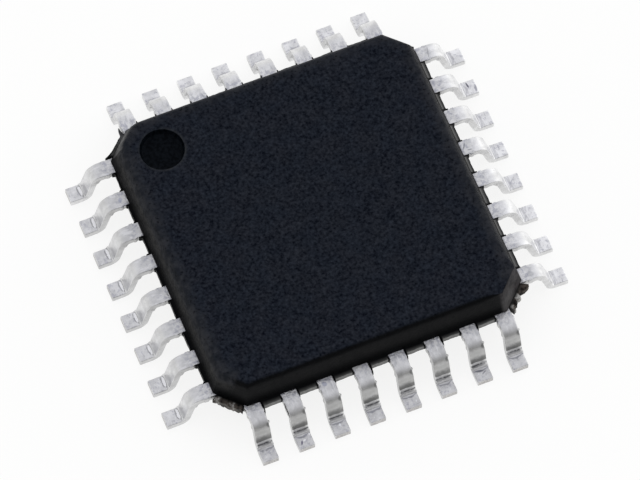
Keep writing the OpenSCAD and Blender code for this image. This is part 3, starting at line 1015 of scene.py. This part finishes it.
# ----------------------------------------------------------------------------------------------
# Materials
# ----------------------------------------------------------------------------------------------
def mould_material(name, deep):
    """moulding compound; deep is the smooth skin inside the index recess, its darker colour painted shade"""
    t = Tree(name)
    x, y, z = t.split(t.obj())
    upn = t.face_up()
    coarse = t.noise(2.2, 3.0, 0.55)
    grain = t.noise(15.5, 1.0, 0.5)
    fine = t.noise(26.0, 2.0, 0.6)
    pits = t.cells(9.0)
    speck = t.cells(15.0)
    if deep:
        # painted shade: the recess's smooth skin is coloured darker than the top face, standing in for its dark look
        base = t.mix(t.step(grain, 0.3, 0.7), (0.0004, 0.0011, 0.0022), (0.0034, 0.0048, 0.0072))
        t.put(t.bsdf.inputs["Base Color"], base)
        t.bsdf.inputs["Specular IOR Level"].default_value = 0.03
        t.put(t.bsdf.inputs["Roughness"], t.math("ADD", 0.42, t.math("MULTIPLY", fine, 0.12)))
        h1 = t.bumps(coarse, 5.0)
        t.put(t.bsdf.inputs["Normal"], t.bumps(grain, 1.5, 1.0, h1))
        return t.mat
    top = t.math("MULTIPLY", t.step(upn, 0.55, 0.97), t.step(z, 0.00128, 0.00139))
    corner = t.attr("corner")
    gate = t.step(corner, 0.05, 0.95)
    index_end = t.step(corner, -0.25, -0.80)
    # filler shows as faint lighter grains, gaps between them as small dark pits
    g = t.math("ADD", t.math("MULTIPLY", t.math("SUBTRACT", grain, 0.5), 1.24), t.math("MULTIPLY", t.math("SUBTRACT", fine, 0.5), 0.80))
    g = t.math("ADD", g, 0.375, clamp=True)
    face = t.mix(g, (0.0, 0.0008, 0.0040), (0.0280, 0.0328, 0.0440))
    tint = t.mix(t.step(coarse, 0.35, 0.65), (0.93, 0.97, 1.00), (1.07, 1.03, 1.00))
    face = t.mix(1.0, face, tint, "MULTIPLY")
    face = t.mix(t.math("MULTIPLY", t.step(pits, 0.14, 0.05), 0.22), face, (0.0030, 0.0042, 0.0076))
    face = t.mix(t.math("MULTIPLY", t.step(speck, 0.12, 0.04), 0.45), face, (0.032, 0.036, 0.046))
    streak = t.noise(1.0, 3.0, 0.6, t.stretch(9.0, 9.0, 1.5))
    mottle = t.noise(6.0, 3.0, 0.6)
    wall = t.mix(streak, (0.0057, 0.0058, 0.0060), (0.0137, 0.0134, 0.0134))
    # painted shade: the walls go black towards their foot, below about 1.1 mm, except on the +X and +Y walls and over
    # the gate
    unshaded_walls = t.math("MAXIMUM", t.math("MAXIMUM", t.step(x, 0.00330, 0.00337), t.step(y, 0.00330, 0.00337)), gate)
    foot_shade = t.math("MULTIPLY", t.step(z, 0.00112, 0.00090), t.math("SUBTRACT", 0.84, t.math("MULTIPLY", unshaded_walls, 0.84)))
    wall = t.mix(foot_shade, wall, (0.0, 0.0, 0.0))
    # painted shade: the turn of the top edge is coloured near black
    edge = t.math("MULTIPLY", t.step(upn, 0.32, 0.48), t.step(z, 0.0011, 0.0012))
    wall = t.mix(edge, wall, t.mix(g, (0.0002, 0.0002, 0.0002), (0.0016, 0.0016, 0.0016)))
    base = t.mix(top, wall, face)
    # a painted sheen round the top face's rim: a soft lighter, browner band, mottled, least along the -Y side, where it
    # lies in shade
    ax = t.math("ABSOLUTE", x)
    ay = t.math("ABSOLUTE", y)
    ring = t.math("MAXIMUM", t.math("MAXIMUM", ax, ay), t.math("ADD", t.math("MULTIPLY", t.math("ADD", ax, ay), 0.70711), 0.0034600 - 0.0045043))
    near = t.math("ADD", ring, t.math("MULTIPLY", t.math("SUBTRACT", coarse, 0.5), 0.00022))
    rim = t.math("MULTIPLY", t.step(near, 0.00296, 0.00324), t.step(z, 0.00098, 0.00124))
    front = t.math("MULTIPLY", t.step(y, -0.00280, -0.00296), t.step(t.math("SUBTRACT", ay, ax), -0.00005, 0.00015))
    rim = t.math("MULTIPLY", rim, t.math("SUBTRACT", 1.0, t.math("MULTIPLY", front, 0.96)))
    rim_sheen_col = t.mix(t.step(mottle, 0.36, 0.64), (0.0140, 0.0155, 0.0195), (0.0345, 0.0355, 0.0400))
    rim_sheen_col = t.mix(t.step(z, 0.00134, 0.00118), rim_sheen_col, t.mix(t.step(mottle, 0.36, 0.64), (0.0150, 0.0150, 0.0152), (0.0370, 0.0362, 0.0355)))
    rim_sheen_col = t.mix(t.step(g, 0.22, 0.05), rim_sheen_col, (0.0075, 0.0080, 0.0095))
    base = t.mix(t.math("MULTIPLY", rim, 0.75), base, rim_sheen_col)
    # painted highlights on edges: the recess's rim, more on its +X, -Y side, the corners at the gate end, and the
    # slanted face beside the index recess
    dx, dy = t.math("ADD", x, INDEX_POS * MM), t.math("SUBTRACT", y, INDEX_POS * MM)
    rad = t.math("SQRT", t.math("ADD", t.math("MULTIPLY", dx, dx), t.math("MULTIPLY", dy, dy)))
    recess_rim_highlight = t.math("MULTIPLY", t.step(rad, 0.000545, 0.000492), t.step(z, 0.00138, 0.00142))
    lean = t.step(t.math("SUBTRACT", dx, dy), -0.0006, 0.0006)
    recess_rim_highlight = t.math("MULTIPLY", recess_rim_highlight, t.math("ADD", 0.30, t.math("MULTIPLY", lean, 0.45)))
    base = t.mix(t.math("MULTIPLY", recess_rim_highlight, t.step(mottle, 0.25, 0.60)), base, (0.0300, 0.0320, 0.0350))
    steep = t.step(upn, 0.80, 0.45)
    # painted highlight on the gate's cut face, above about 0.8 mm
    cut = t.math("MULTIPLY", t.math("MULTIPLY", gate, t.step(z, 0.00074, 0.00088)), steep)
    base = t.mix(t.math("MULTIPLY", cut, t.math("ADD", 0.30, t.math("MULTIPLY", t.step(mottle, 0.30, 0.70), 0.55))), base, (0.0620, 0.0570, 0.0590))
    # painted highlight along the upper part of the slanted face beside the index recess
    index_face_highlight = t.math("MULTIPLY", t.math("MULTIPLY", index_end, t.step(z, 0.00092, 0.00110)), steep)
    base = t.mix(t.math("MULTIPLY", index_face_highlight, t.math("ADD", 0.45, t.math("MULTIPLY", t.step(mottle, 0.30, 0.70), 0.50))), base, (0.0950, 0.0940, 0.0940))
    # painted highlight low on the gate face, on its -Y half
    half = t.math("MULTIPLY", t.math("MULTIPLY", cut, t.step(t.math("ADD", x, y), 0.00012, -0.00012)), t.step(z, 0.00128, 0.00112))
    base = t.mix(t.math("MULTIPLY", half, 0.45), base, (0.0950, 0.0920, 0.0920))
    # painted highlight: the far (+Y) rim and wall are a little lighter
    base = t.mix(t.math("MULTIPLY", t.step(y, 0.00318, 0.00328), 0.55), base, (0.0560, 0.0570, 0.0620))
    # flash: thin resin, pale and matt on its broken outer face; on the +X and +Y sides the same pale colour is painted
    # light on the ledge and the wall's foot
    fl = t.attr("flash")
    fg = t.noise(14.0, 3.0, 0.6)
    pale = t.mix(fg, (0.15, 0.15, 0.145), (0.36, 0.36, 0.35))
    base = t.mix(fl, base, pale)
    # broken resin: dark brown lumps and pale chalky bits
    torn, tone, out = t.attr("torn"), t.attr("tone"), t.attr("out")
    tn = t.noise(15.0, 2.0, 0.6)
    tn2 = t.noise(7.0, 2.0, 0.6)
    mot = t.math("ADD", tone, t.math("ADD", t.math("MULTIPLY", t.math("SUBTRACT", tn, 0.5), 1.5), t.math("MULTIPLY", t.math("SUBTRACT", tn2, 0.5), 0.9)))
    torn_col = t.mix(t.step(mot, -0.05, 0.45), (0.0110, 0.0090, 0.0082), (0.085, 0.072, 0.062))
    torn_col = t.mix(t.step(mot, 0.50, 1.05), torn_col, (0.50, 0.49, 0.47))
    root = t.math("MAXIMUM", t.step(out, 0.02, 0.30), gate)
    base = t.mix(t.math("MULTIPLY", t.math("MULTIPLY", torn, 0.97), root), base, torn_col)
    t.put(t.bsdf.inputs["Base Color"], base)
    t.bsdf.inputs["Specular IOR Level"].default_value = 0.05
    t.bsdf.inputs["Specular Tint"].default_value = (0.80, 0.88, 1.0, 1.0)
    rough = t.math("ADD", t.math("MULTIPLY", t.math("SUBTRACT", grain, 0.5), 0.25), 0.56)
    rough = t.math("ADD", rough, t.math("MULTIPLY", fl, 0.2), clamp=True)
    t.put(t.bsdf.inputs["Roughness"], rough)
    h1 = t.bumps(grain, 9.0)
    h2 = t.bumps(fine, 4.0, 1.0, h1)
    h3 = t.bumps(t.step(pits, 0.0, 0.22), 5.0, 1.0, h2)
    t.put(t.bsdf.inputs["Normal"], h3)
    return t.mat


def tin_material():
    t = Tree("tinned_lead")
    run, lat, hgt, tip, num, low = (t.attr(n) for n in ("run", "lat", "hgt", "tip", "num", "low"))

    def band(v, a, b, c, d):
        """0 at a, 1 from b to c, 0 at d"""
        return t.math("MULTIPLY", t.step(v, a, b), t.step(v, d, c))

    def times(*v):
        out = v[0]
        for w in v[1:]:
            out = t.math("MULTIPLY", out, w)
        return out

    def paint(base, fac, strength, colour):
        return t.mix(t.math("MULTIPLY", fac, strength), base, colour)

    # a flat map of each lead: along, across, and a number of its own, in metres so that scales stay per mm
    own = t.math("MULTIPLY", num, 5.3 * MM)
    flat = t.vec(t.math("MULTIPLY", run, MM), t.math("MULTIPLY", lat, 0.175 * MM), t.math("ADD", own, t.math("MULTIPLY", hgt, 0.05 * MM)))
    long = t.vec(t.math("MULTIPLY", run, 0.35 * MM), t.math("MULTIPLY", lat, 0.175 * MM), own)
    mott = t.noise(6.0, 3.0, 0.55, flat)
    fine = t.noise(34.0, 3.0, 0.6, flat)
    marks = t.noise(13.0, 3.0, 0.6, flat)
    lines = t.noise(15.0, 2.0, 0.55, long)
    single = t.noise(1.0, 0.0, 0.5, t.vec(0.0, 0.0, t.math("MULTIPLY", num, 3.7 * MM)))  # one value a lead
    topf = t.step(hgt, 0.70, 0.95)
    left = t.step(num, 8.6, 8.4)
    front = t.math("MULTIPLY", t.step(num, 8.4, 8.6), t.step(num, 16.6, 16.4))
    right = t.math("MULTIPLY", t.step(num, 16.4, 16.6), t.step(num, 24.6, 24.4))
    behind = t.step(num, 24.4, 24.6)
    base = t.mix(t.step(mott, 0.25, 0.75), (0.575, 0.575, 0.58), (0.765, 0.765, 0.77))
    base = t.mix(t.math("MULTIPLY", t.step(fine, 0.52, 0.78), 0.7), base, (0.53, 0.53, 0.55))
    # painted light: lead brightness changes from side to side, darkest on the -X side and lightest on the +X and +Y
    # sides; the plating also differs a little from lead to lead
    side_light_and_plating = t.math("ADD", t.math("ADD", 1.0, t.math("MULTIPLY", left, t.math("ADD", -0.08, t.math("ADD", t.math("MULTIPLY", t.step(run, 0.20, 0.30), 0.04), t.math("MULTIPLY", t.step(run, 0.54, 0.66), 0.10))))), t.math("ADD", t.math("MULTIPLY", right, t.math("ADD", 0.02, t.math("ADD", t.math("MULTIPLY", t.step(run, 0.20, 0.30), 0.20), t.math("MULTIPLY", t.step(run, 0.80, 1.00), 0.09)))), t.math("MULTIPLY", behind, t.math("ADD", 0.09, t.math("MULTIPLY", t.step(run, 1.14, 1.24), 0.12)))))
    side_light_and_plating = t.math("ADD", side_light_and_plating, t.math("MULTIPLY", t.math("SUBTRACT", single, 0.5), 0.12))
    base = t.mix(1.0, base, t.vec(side_light_and_plating, side_light_and_plating, side_light_and_plating), "MULTIPLY")
    # bluish scuffs and pale specks on the first part of the shoulder
    near = t.step(run, 0.34, 0.14)
    scuff = times(t.step(marks, 0.47, 0.62), near, topf)
    base = paint(base, scuff, 0.55, (0.33, 0.34, 0.42))
    drag = times(t.step(lines, 0.54, 0.66), t.step(run, 0.40, 0.22), topf)
    base = paint(base, drag, 0.32, (0.30, 0.31, 0.35))
    glint = times(t.step(lines, 0.44, 0.34), t.step(run, 0.05, 0.16), t.step(run, 0.50, 0.30), topf)
    base = paint(base, glint, 0.45, (0.86, 0.86, 0.88))
    # uneven edge of cleaned-off resin at the root
    dots = t.noise(17.0, 2.0, 0.6, flat)
    root = times(t.step(t.math("SUBTRACT", run, t.math("MULTIPLY", dots, 0.06)), 0.050, -0.005), topf)
    base = paint(base, times(t.step(dots, 0.46, 0.62), root), 0.38, (0.26, 0.26, 0.29))
    base = paint(base, t.math("MULTIPLY", t.step(run, 0.018, 0.002), topf), 0.40, (0.20, 0.20, 0.21))
    # marks across the bends, partly the forming tool's and partly painted light and shade; wobble keeps each lead's own
    wob = t.math("ADD", low, t.math("MULTIPLY", t.math("SUBTRACT", mott, 0.5), 0.045))
    wob = t.math("ADD", wob, t.math("MULTIPLY", lat, t.math("MULTIPLY", t.math("SUBTRACT", single, 0.35), 0.030)))
    keep = t.math("ADD", 0.45, t.math("MULTIPLY", single, 1.1), clamp=True)
    # front leads: painted shade over the upper bend and down the slope, a painted dark spot at the knob on one edge, a
    # painted highlight on the shoulder, a soft painted shade band low on the slope, a thin painted highlight line, a
    # painted shadow line, then a stained arc
    # painted shade over the upper bend and the slope
    base = paint(base, times(band(run, 0.30, 0.46, 0.58, 0.76), topf, front), 0.42, (0.31, 0.31, 0.30))
    base = paint(base, times(band(run, 0.47, 0.515, 0.56, 0.66), topf, front), 0.30, (0.24, 0.24, 0.235))
    spot = t.math("ADD", t.math("POWER", t.math("DIVIDE", t.math("SUBTRACT", run, 0.475), 0.055), 2.0), t.math("POWER", t.math("DIVIDE", t.math("SUBTRACT", lat, 1.0), 0.42), 2.0))
    # painted shade at the knob
    base = paint(base, times(t.step(spot, 1.2, 0.3), topf, front), 0.62, (0.13, 0.13, 0.13))
    # painted highlight on the shoulder
    base = paint(base, times(band(run, 0.05, 0.10, 0.20, 0.30), topf, front), 0.16, (0.92, 0.92, 0.93))
    base = paint(base, times(band(low, -0.46, -0.34, -0.17, -0.125), topf, front), 0.36, (0.31, 0.31, 0.295))
    ragged = t.math("ADD", wob, t.math("MULTIPLY", t.math("SUBTRACT", marks, 0.5), 0.16))
    shade = times(t.step(ragged, -0.36, -0.20), t.step(wob, -0.130, -0.150), topf, front)
    base = paint(base, shade, t.math("MULTIPLY", keep, 0.78), (0.10, 0.10, 0.097))
    # painted highlight line, then a painted shadow line
    base = paint(base, times(band(wob, -0.132, -0.118, -0.108, -0.096), topf, front, t.step(marks, 0.30, 0.55)), 0.55, (0.74, 0.74, 0.72))
    base = paint(base, times(band(wob, -0.088, -0.066, -0.046, -0.016), topf, front, t.step(marks, 0.33, 0.58)), 0.85, (0.06, 0.06, 0.065))
    base = paint(base, times(band(wob, 0.010, 0.05, 0.12, 0.18), topf, front), 0.02, (0.34, 0.34, 0.37))
    # left leads: a bright patch between two dark lines in the lower bend
    ll = t.math("DIVIDE", t.math("SUBTRACT", wob, 0.158), 0.052)
    la = t.math("DIVIDE", t.math("SUBTRACT", lat, -0.08), 0.66)
    oval = t.math("ADD", t.math("MULTIPLY", ll, ll), t.math("MULTIPLY", t.math("MULTIPLY", la, la), t.math("MULTIPLY", la, la)))
    oval = t.math("ADD", oval, t.math("MULTIPLY", t.math("SUBTRACT", marks, 0.5), 2.4))
    base = paint(base, times(band(wob, -0.21, -0.13, -0.10, -0.04), topf, left), 0.12, (0.26, 0.26, 0.27))
    base = paint(base, times(t.step(oval, 3.4, 1.9), t.step(ll, 0.6, -0.4), topf, left), 0.52, (0.16, 0.16, 0.17))
    base = paint(base, times(t.step(oval, 2.8, 1.7), t.step(ll, 0.5, 1.1), topf, left), 0.60, (0.17, 0.17, 0.18))
    base = paint(base, times(t.step(oval, 1.25, 0.75), topf, left), t.math("ADD", 0.12, t.math("MULTIPLY", keep, 0.78)), (0.95, 0.95, 0.96))
    # the other leads: only faint lines there
    rest = t.math("ADD", right, behind)
    base = paint(base, times(band(wob, 0.120, 0.140, 0.155, 0.175), topf, rest, keep), 0.30, (0.30, 0.30, 0.31))
    base = paint(base, times(band(wob, 0.215, 0.235, 0.245, 0.265), topf, rest, keep), 0.30, (0.34, 0.34, 0.36))
    # stain left in an arc on the foot, bright rubbed spots inside it
    arc = t.math("SUBTRACT", low, t.math("MULTIPLY", t.math("SUBTRACT", 1.0, t.math("MULTIPLY", lat, lat)), 0.060))
    arc = t.math("ADD", arc, t.math("MULTIPLY", t.math("SUBTRACT", mott, 0.5), 0.14))
    stain = times(band(arc, 0.125, 0.150, 0.165, 0.195), topf, t.math("ADD", front, t.math("MULTIPLY", rest, 0.5)))
    base = paint(base, stain, t.math("MULTIPLY", keep, 0.62), (0.20, 0.20, 0.24))
    foot = t.math("MULTIPLY", t.step(low, 0.17, 0.24), topf)
    base = paint(base, times(t.step(marks, 0.53, 0.66), foot), 0.42, (0.32, 0.32, 0.40))
    base = paint(base, times(t.step(marks, 0.42, 0.33), foot, t.step(low, 0.46, 0.36)), 0.55, (0.90, 0.90, 0.92))
    rows = t.noise(24.0, 2.0, 0.5, t.vec(t.math("MULTIPLY", run, MM), t.math("MULTIPLY", lat, 0.06 * MM), own))
    base = paint(base, times(t.step(rows, 0.60, 0.70), foot), 0.35, (0.25, 0.25, 0.28))
    # marks that belong to single leads: lead, along (from the wall, or from the lower bend), across, sizes, shear
    for k, at, along, across, ra, rc, shear, strength, colour in (
        (24, run, 0.235, 0.00, 0.020, 0.85, 0.04, 0.45, (0.20, 0.20, 0.22)),
        (23, low, 0.285, 0.38, 0.026, 0.46, -0.04, 0.85, (0.10, 0.10, 0.14)),
        (23, low, 0.430, -0.35, 0.035, 0.55, 0.04, 0.65, (0.20, 0.20, 0.26)),
        (21, run, 0.085, 0.20, 0.022, 0.45, 0.10, 0.70, (0.14, 0.15, 0.18)),
        (21, run, 0.160, -0.45, 0.050, 0.12, -0.25, 0.55, (0.18, 0.18, 0.22)),
        (10, low, 0.335, -0.36, 0.050, 0.20, -0.24, 0.85, (0.12, 0.11, 0.18)),
        (10, low, 0.300, 0.06, 0.026, 0.20, 0.00, 0.90, (0.97, 0.96, 0.98)),
        (10, low, 0.205, 0.86, 0.040, 0.12, 0.00, 0.90, (0.96, 0.96, 0.97)),
        (11, low, 0.255, 0.12, 0.032, 0.18, 0.00, 0.80, (0.94, 0.95, 0.98)),
        (11, run, 0.130, -0.25, 0.060, 0.35, 0.00, 0.55, (0.34, 0.37, 0.50)),
        (15, low, 0.200, -0.20, 0.030, 0.60, 0.06, 0.75, (0.13, 0.13, 0.16)),
        (15, low, 0.270, 0.30, 0.022, 0.40, -0.08, 0.60, (0.18, 0.18, 0.22)),
        (32, low, 0.090, 0.10, 0.050, 0.50, 0.05, 0.55, (0.22, 0.22, 0.23)),
        (2, run, 0.150, 0.10, 0.050, 0.40, 0.05, 0.50, (0.34, 0.36, 0.48)),
    ):
        dv = t.math("SUBTRACT", lat, across)
        du = t.math("SUBTRACT", t.math("SUBTRACT", at, along), t.math("MULTIPLY", dv, shear))
        du = t.math("ADD", t.math("DIVIDE", du, ra), t.math("MULTIPLY", t.math("SUBTRACT", marks, 0.5), 1.6))
        dv = t.math("DIVIDE", dv, rc)
        r2 = t.math("ADD", t.math("MULTIPLY", du, du), t.math("MULTIPLY", dv, dv))
        base = paint(base, times(t.step(r2, 1.0, 0.35), t.step(t.math("ABSOLUTE", t.math("SUBTRACT", num, float(k))), 0.6, 0.4), topf), strength, colour)
    # sheared tip: bare metal shows through, dulled
    base = paint(base, tip, 0.55, t.mix(t.step(fine, 0.40, 0.62), (0.26, 0.24, 0.225), (0.56, 0.54, 0.52)))
    # stamped side faces are a little duller than the rolled ones
    sidef = t.math("MULTIPLY", t.step(t.math("ABSOLUTE", hgt), 0.95, 0.80), t.step(t.math("ABSOLUTE", lat), 0.93, 0.99))
    base = paint(base, sidef, 0.30, (0.45, 0.45, 0.44))
    t.put(t.bsdf.inputs["Base Color"], base)
    t.bsdf.inputs["Metallic"].default_value = 1.0
    rough = t.math("ADD", 0.33, t.math("MULTIPLY", t.math("SUBTRACT", mott, 0.5), 0.14))
    rough = t.math("ADD", rough, t.math("MULTIPLY", scuff, 0.08))
    rough = t.math("ADD", rough, t.math("MULTIPLY", t.math("MAXIMUM", tip, sidef), 0.12), clamp=True)
    t.put(t.bsdf.inputs["Roughness"], rough)
    h1 = t.bumps(marks, 2.6)
    h2 = t.bumps(fine, 1.3, 1.0, h1)
    h3 = t.bumps(t.math("MULTIPLY", t.step(dots, 0.45, 0.65), root), 3.0, 1.0, h2)
    t.put(t.bsdf.inputs["Normal"], h3)
    return t.mat


def copper_material():
    t = Tree("lead_frame_copper")
    g = t.noise(3.0, 3.0, 0.6, t.stretch(1.0, 9.0, 1.0))
    f = t.noise(30.0, 2.0, 0.5)
    base = t.mix(g, (0.62, 0.33, 0.20), (0.78, 0.47, 0.32))
    t.put(t.bsdf.inputs["Base Color"], base)
    t.bsdf.inputs["Metallic"].default_value = 1.0
    t.put(t.bsdf.inputs["Roughness"], t.math("ADD", 0.30, t.math("MULTIPLY", f, 0.15)))
    t.put(t.bsdf.inputs["Normal"], t.bumps(g, 2.0))
    return t.mat


def epoxy_material():
    t = Tree("silver_epoxy")
    f = t.noise(40.0, 3.0, 0.6)
    c = t.cells(28.0)
    base = t.mix(f, (0.42, 0.41, 0.39), (0.66, 0.65, 0.62))
    t.put(t.bsdf.inputs["Base Color"], base)
    t.bsdf.inputs["Metallic"].default_value = 0.7
    t.put(t.bsdf.inputs["Roughness"], t.math("ADD", 0.45, t.math("MULTIPLY", c, 0.2)))
    t.put(t.bsdf.inputs["Normal"], t.bumps(c, 4.0))
    return t.mat


def silicon_material():
    """polished silicon, with plain rows of cells, a wiring grid and square bond pads on its upper face"""
    t = Tree("silicon")
    x, y, z = t.split(t.obj())
    upn = t.face_up()
    topf = t.step(upn, 0.8, 0.95)
    half_pitch = 0.00013
    cols = []
    for u, v in ((x, y), (y, x)):
        # pads at 1.10 mm out, every 0.26 mm along
        row = t.math("MULTIPLY", t.step(t.math("ABSOLUTE", t.math("SUBTRACT", t.math("ABSOLUTE", u), 0.00110)), 0.000050, 0.000046), t.step(t.math("ABSOLUTE", v), 0.00096, 0.00095))
        w = t.math("PINGPONG", v, half_pitch)
        pad = t.step(t.math("ABSOLUTE", t.math("SUBTRACT", w, half_pitch)), 0.000050, 0.000046)
        cols.append(t.math("MULTIPLY", row, pad))
    pads = t.math("MULTIPLY", t.math("MAXIMUM", cols[0], cols[1]), topf)
    core = t.math("MULTIPLY", t.math("MULTIPLY", t.step(t.math("MAXIMUM", t.math("ABSOLUTE", x), t.math("ABSOLUTE", y)), 0.00099, 0.00098), topf), 1.0)
    blocks = t.node("ShaderNodeTexVoronoi", {"Scale": 2300.0, "Randomness": 0.8}, feature="F1", distance="CHEBYCHEV")
    t.t.links.new(t.obj(), blocks.inputs["Vector"])
    fine = t.noise(60.0, 2.0, 0.5, t.stretch(1.0, 0.12, 1.0))
    circuit = t.mix(t.split(blocks.outputs["Color"])[0], (0.10, 0.13, 0.20), (0.30, 0.22, 0.26))
    circuit = t.mix(t.math("MULTIPLY", t.step(fine, 0.4, 0.6), 0.5), circuit, (0.42, 0.38, 0.30))
    base = t.mix(core, (0.20, 0.21, 0.24), circuit)
    base = t.mix(pads, base, (0.80, 0.81, 0.82))
    t.put(t.bsdf.inputs["Base Color"], base)
    t.bsdf.inputs["Metallic"].default_value = 0.85
    t.put(t.bsdf.inputs["Roughness"], t.math("ADD", 0.18, t.math("MULTIPLY", fine, 0.12)))
    return t.mat


def gold_material():
    t = Tree("gold_wire")
    f = t.noise(60.0, 2.0, 0.5)
    base = t.mix(f, (0.86, 0.57, 0.20), (0.95, 0.70, 0.32))
    t.put(t.bsdf.inputs["Base Color"], base)
    t.bsdf.inputs["Metallic"].default_value = 1.0
    t.put(t.bsdf.inputs["Roughness"], t.math("ADD", 0.16, t.math("MULTIPLY", f, 0.12)))
    t.put(t.bsdf.inputs["Normal"], t.bumps(f, 0.6))
    return t.mat


tin, gold = tin_material(), gold_material()
set_material(body, mould_material("mould_compound", False))
body.data.materials.append(mould_material("mould_recess", True))
cen = np.zeros(len(body.data.polygons) * 3)
body.data.polygons.foreach_get("center", cen)
cen = cen.reshape(-1, 3) / MM
in_recess = (np.hypot(cen[:, 0] + INDEX_POS, cen[:, 1] - INDEX_POS) < 0.482) & (cen[:, 2] < TOP - 0.003) & (cen[:, 2] > TOP - 0.13)
body.data.polygons.foreach_set("material_index", in_recess.astype(np.int32))
for ob in leads:
    set_material(ob, tin)
for ob in wires:
    set_material(ob, gold)
for node, mat in (("die_paddle", copper_material()), ("die_attach", epoxy_material()), ("silicon_die", silicon_material())):
    set_material(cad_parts[node], mat)


# ----------------------------------------------------------------------------------------------
# Stage: plain pale floor, soft studio light
# ----------------------------------------------------------------------------------------------
def floor():
    """plain pale matt floor, a little luminous, so that only a faint contact shadow shows on it"""
    mesh = bpy.data.meshes.new("floor")
    r = 1.5
    mesh.from_pydata([(-r, -r, -2e-6), (r, -r, -2e-6), (r, r, -2e-6), (-r, r, -2e-6)], [], [(0, 1, 2, 3)])
    ob = bpy.data.objects.new("floor", mesh)
    bpy.context.scene.collection.objects.link(ob)
    t = Tree("floor")
    t.bsdf.inputs["Base Color"].default_value = (0.18, 0.18, 0.179, 1)
    t.bsdf.inputs["Roughness"].default_value = 1.0
    t.bsdf.inputs["Specular IOR Level"].default_value = 0.0
    t.bsdf.inputs["Emission Color"].default_value = (1.0, 1.0, 0.995, 1)
    t.bsdf.inputs["Emission Strength"].default_value = FLOOR_GLOW
    t.mat.cycles.emission_sampling = "NONE"
    set_material(ob, t.mat)
    return ob


FLOOR_GLOW = 0.845
floor()

# soft dome: bright from the sides and the back, dim low in front
world = bpy.data.worlds.new("dome")
world.use_nodes = True
wt = Tree.__new__(Tree)
wt.t = world.node_tree
wt.t.nodes.clear()
wo = wt.t.nodes.new("ShaderNodeOutputWorld")
bg = wt.t.nodes.new("ShaderNodeBackground")
wx, wy, wz = wt.split(wt.t.nodes.new("ShaderNodeTexCoord").outputs["Generated"])


def lobe(c, sign, k):
    p = wt.math("MAXIMUM", wt.math("MULTIPLY", c, sign), 0.0)
    return wt.math("MULTIPLY", wt.math("MULTIPLY", p, p), k)


dome = wt.math("ADD", 0.78, lobe(wx, 1.0, 0.50))
dome = wt.math("ADD", dome, lobe(wx, -1.0, 0.12))
dome = wt.math("ADD", dome, lobe(wy, 1.0, 0.15))
low_front = wt.math("ADD", 0.45, wt.math("MULTIPLY", wt.step(wz, 0.0, 0.30), 0.55))
dome = wt.math("ADD", dome, wt.math("MULTIPLY", lobe(wy, -1.0, -0.52), low_front))
wt.put(bg.inputs["Color"], wt.mix(wt.step(wz, 0.2, 0.9), (1.0, 1.0, 0.99), (0.985, 0.99, 1.03)))
wt.put(bg.inputs["Strength"], dome)
wt.t.links.new(bg.outputs[0], wo.inputs["Surface"])
bpy.context.scene.world = world
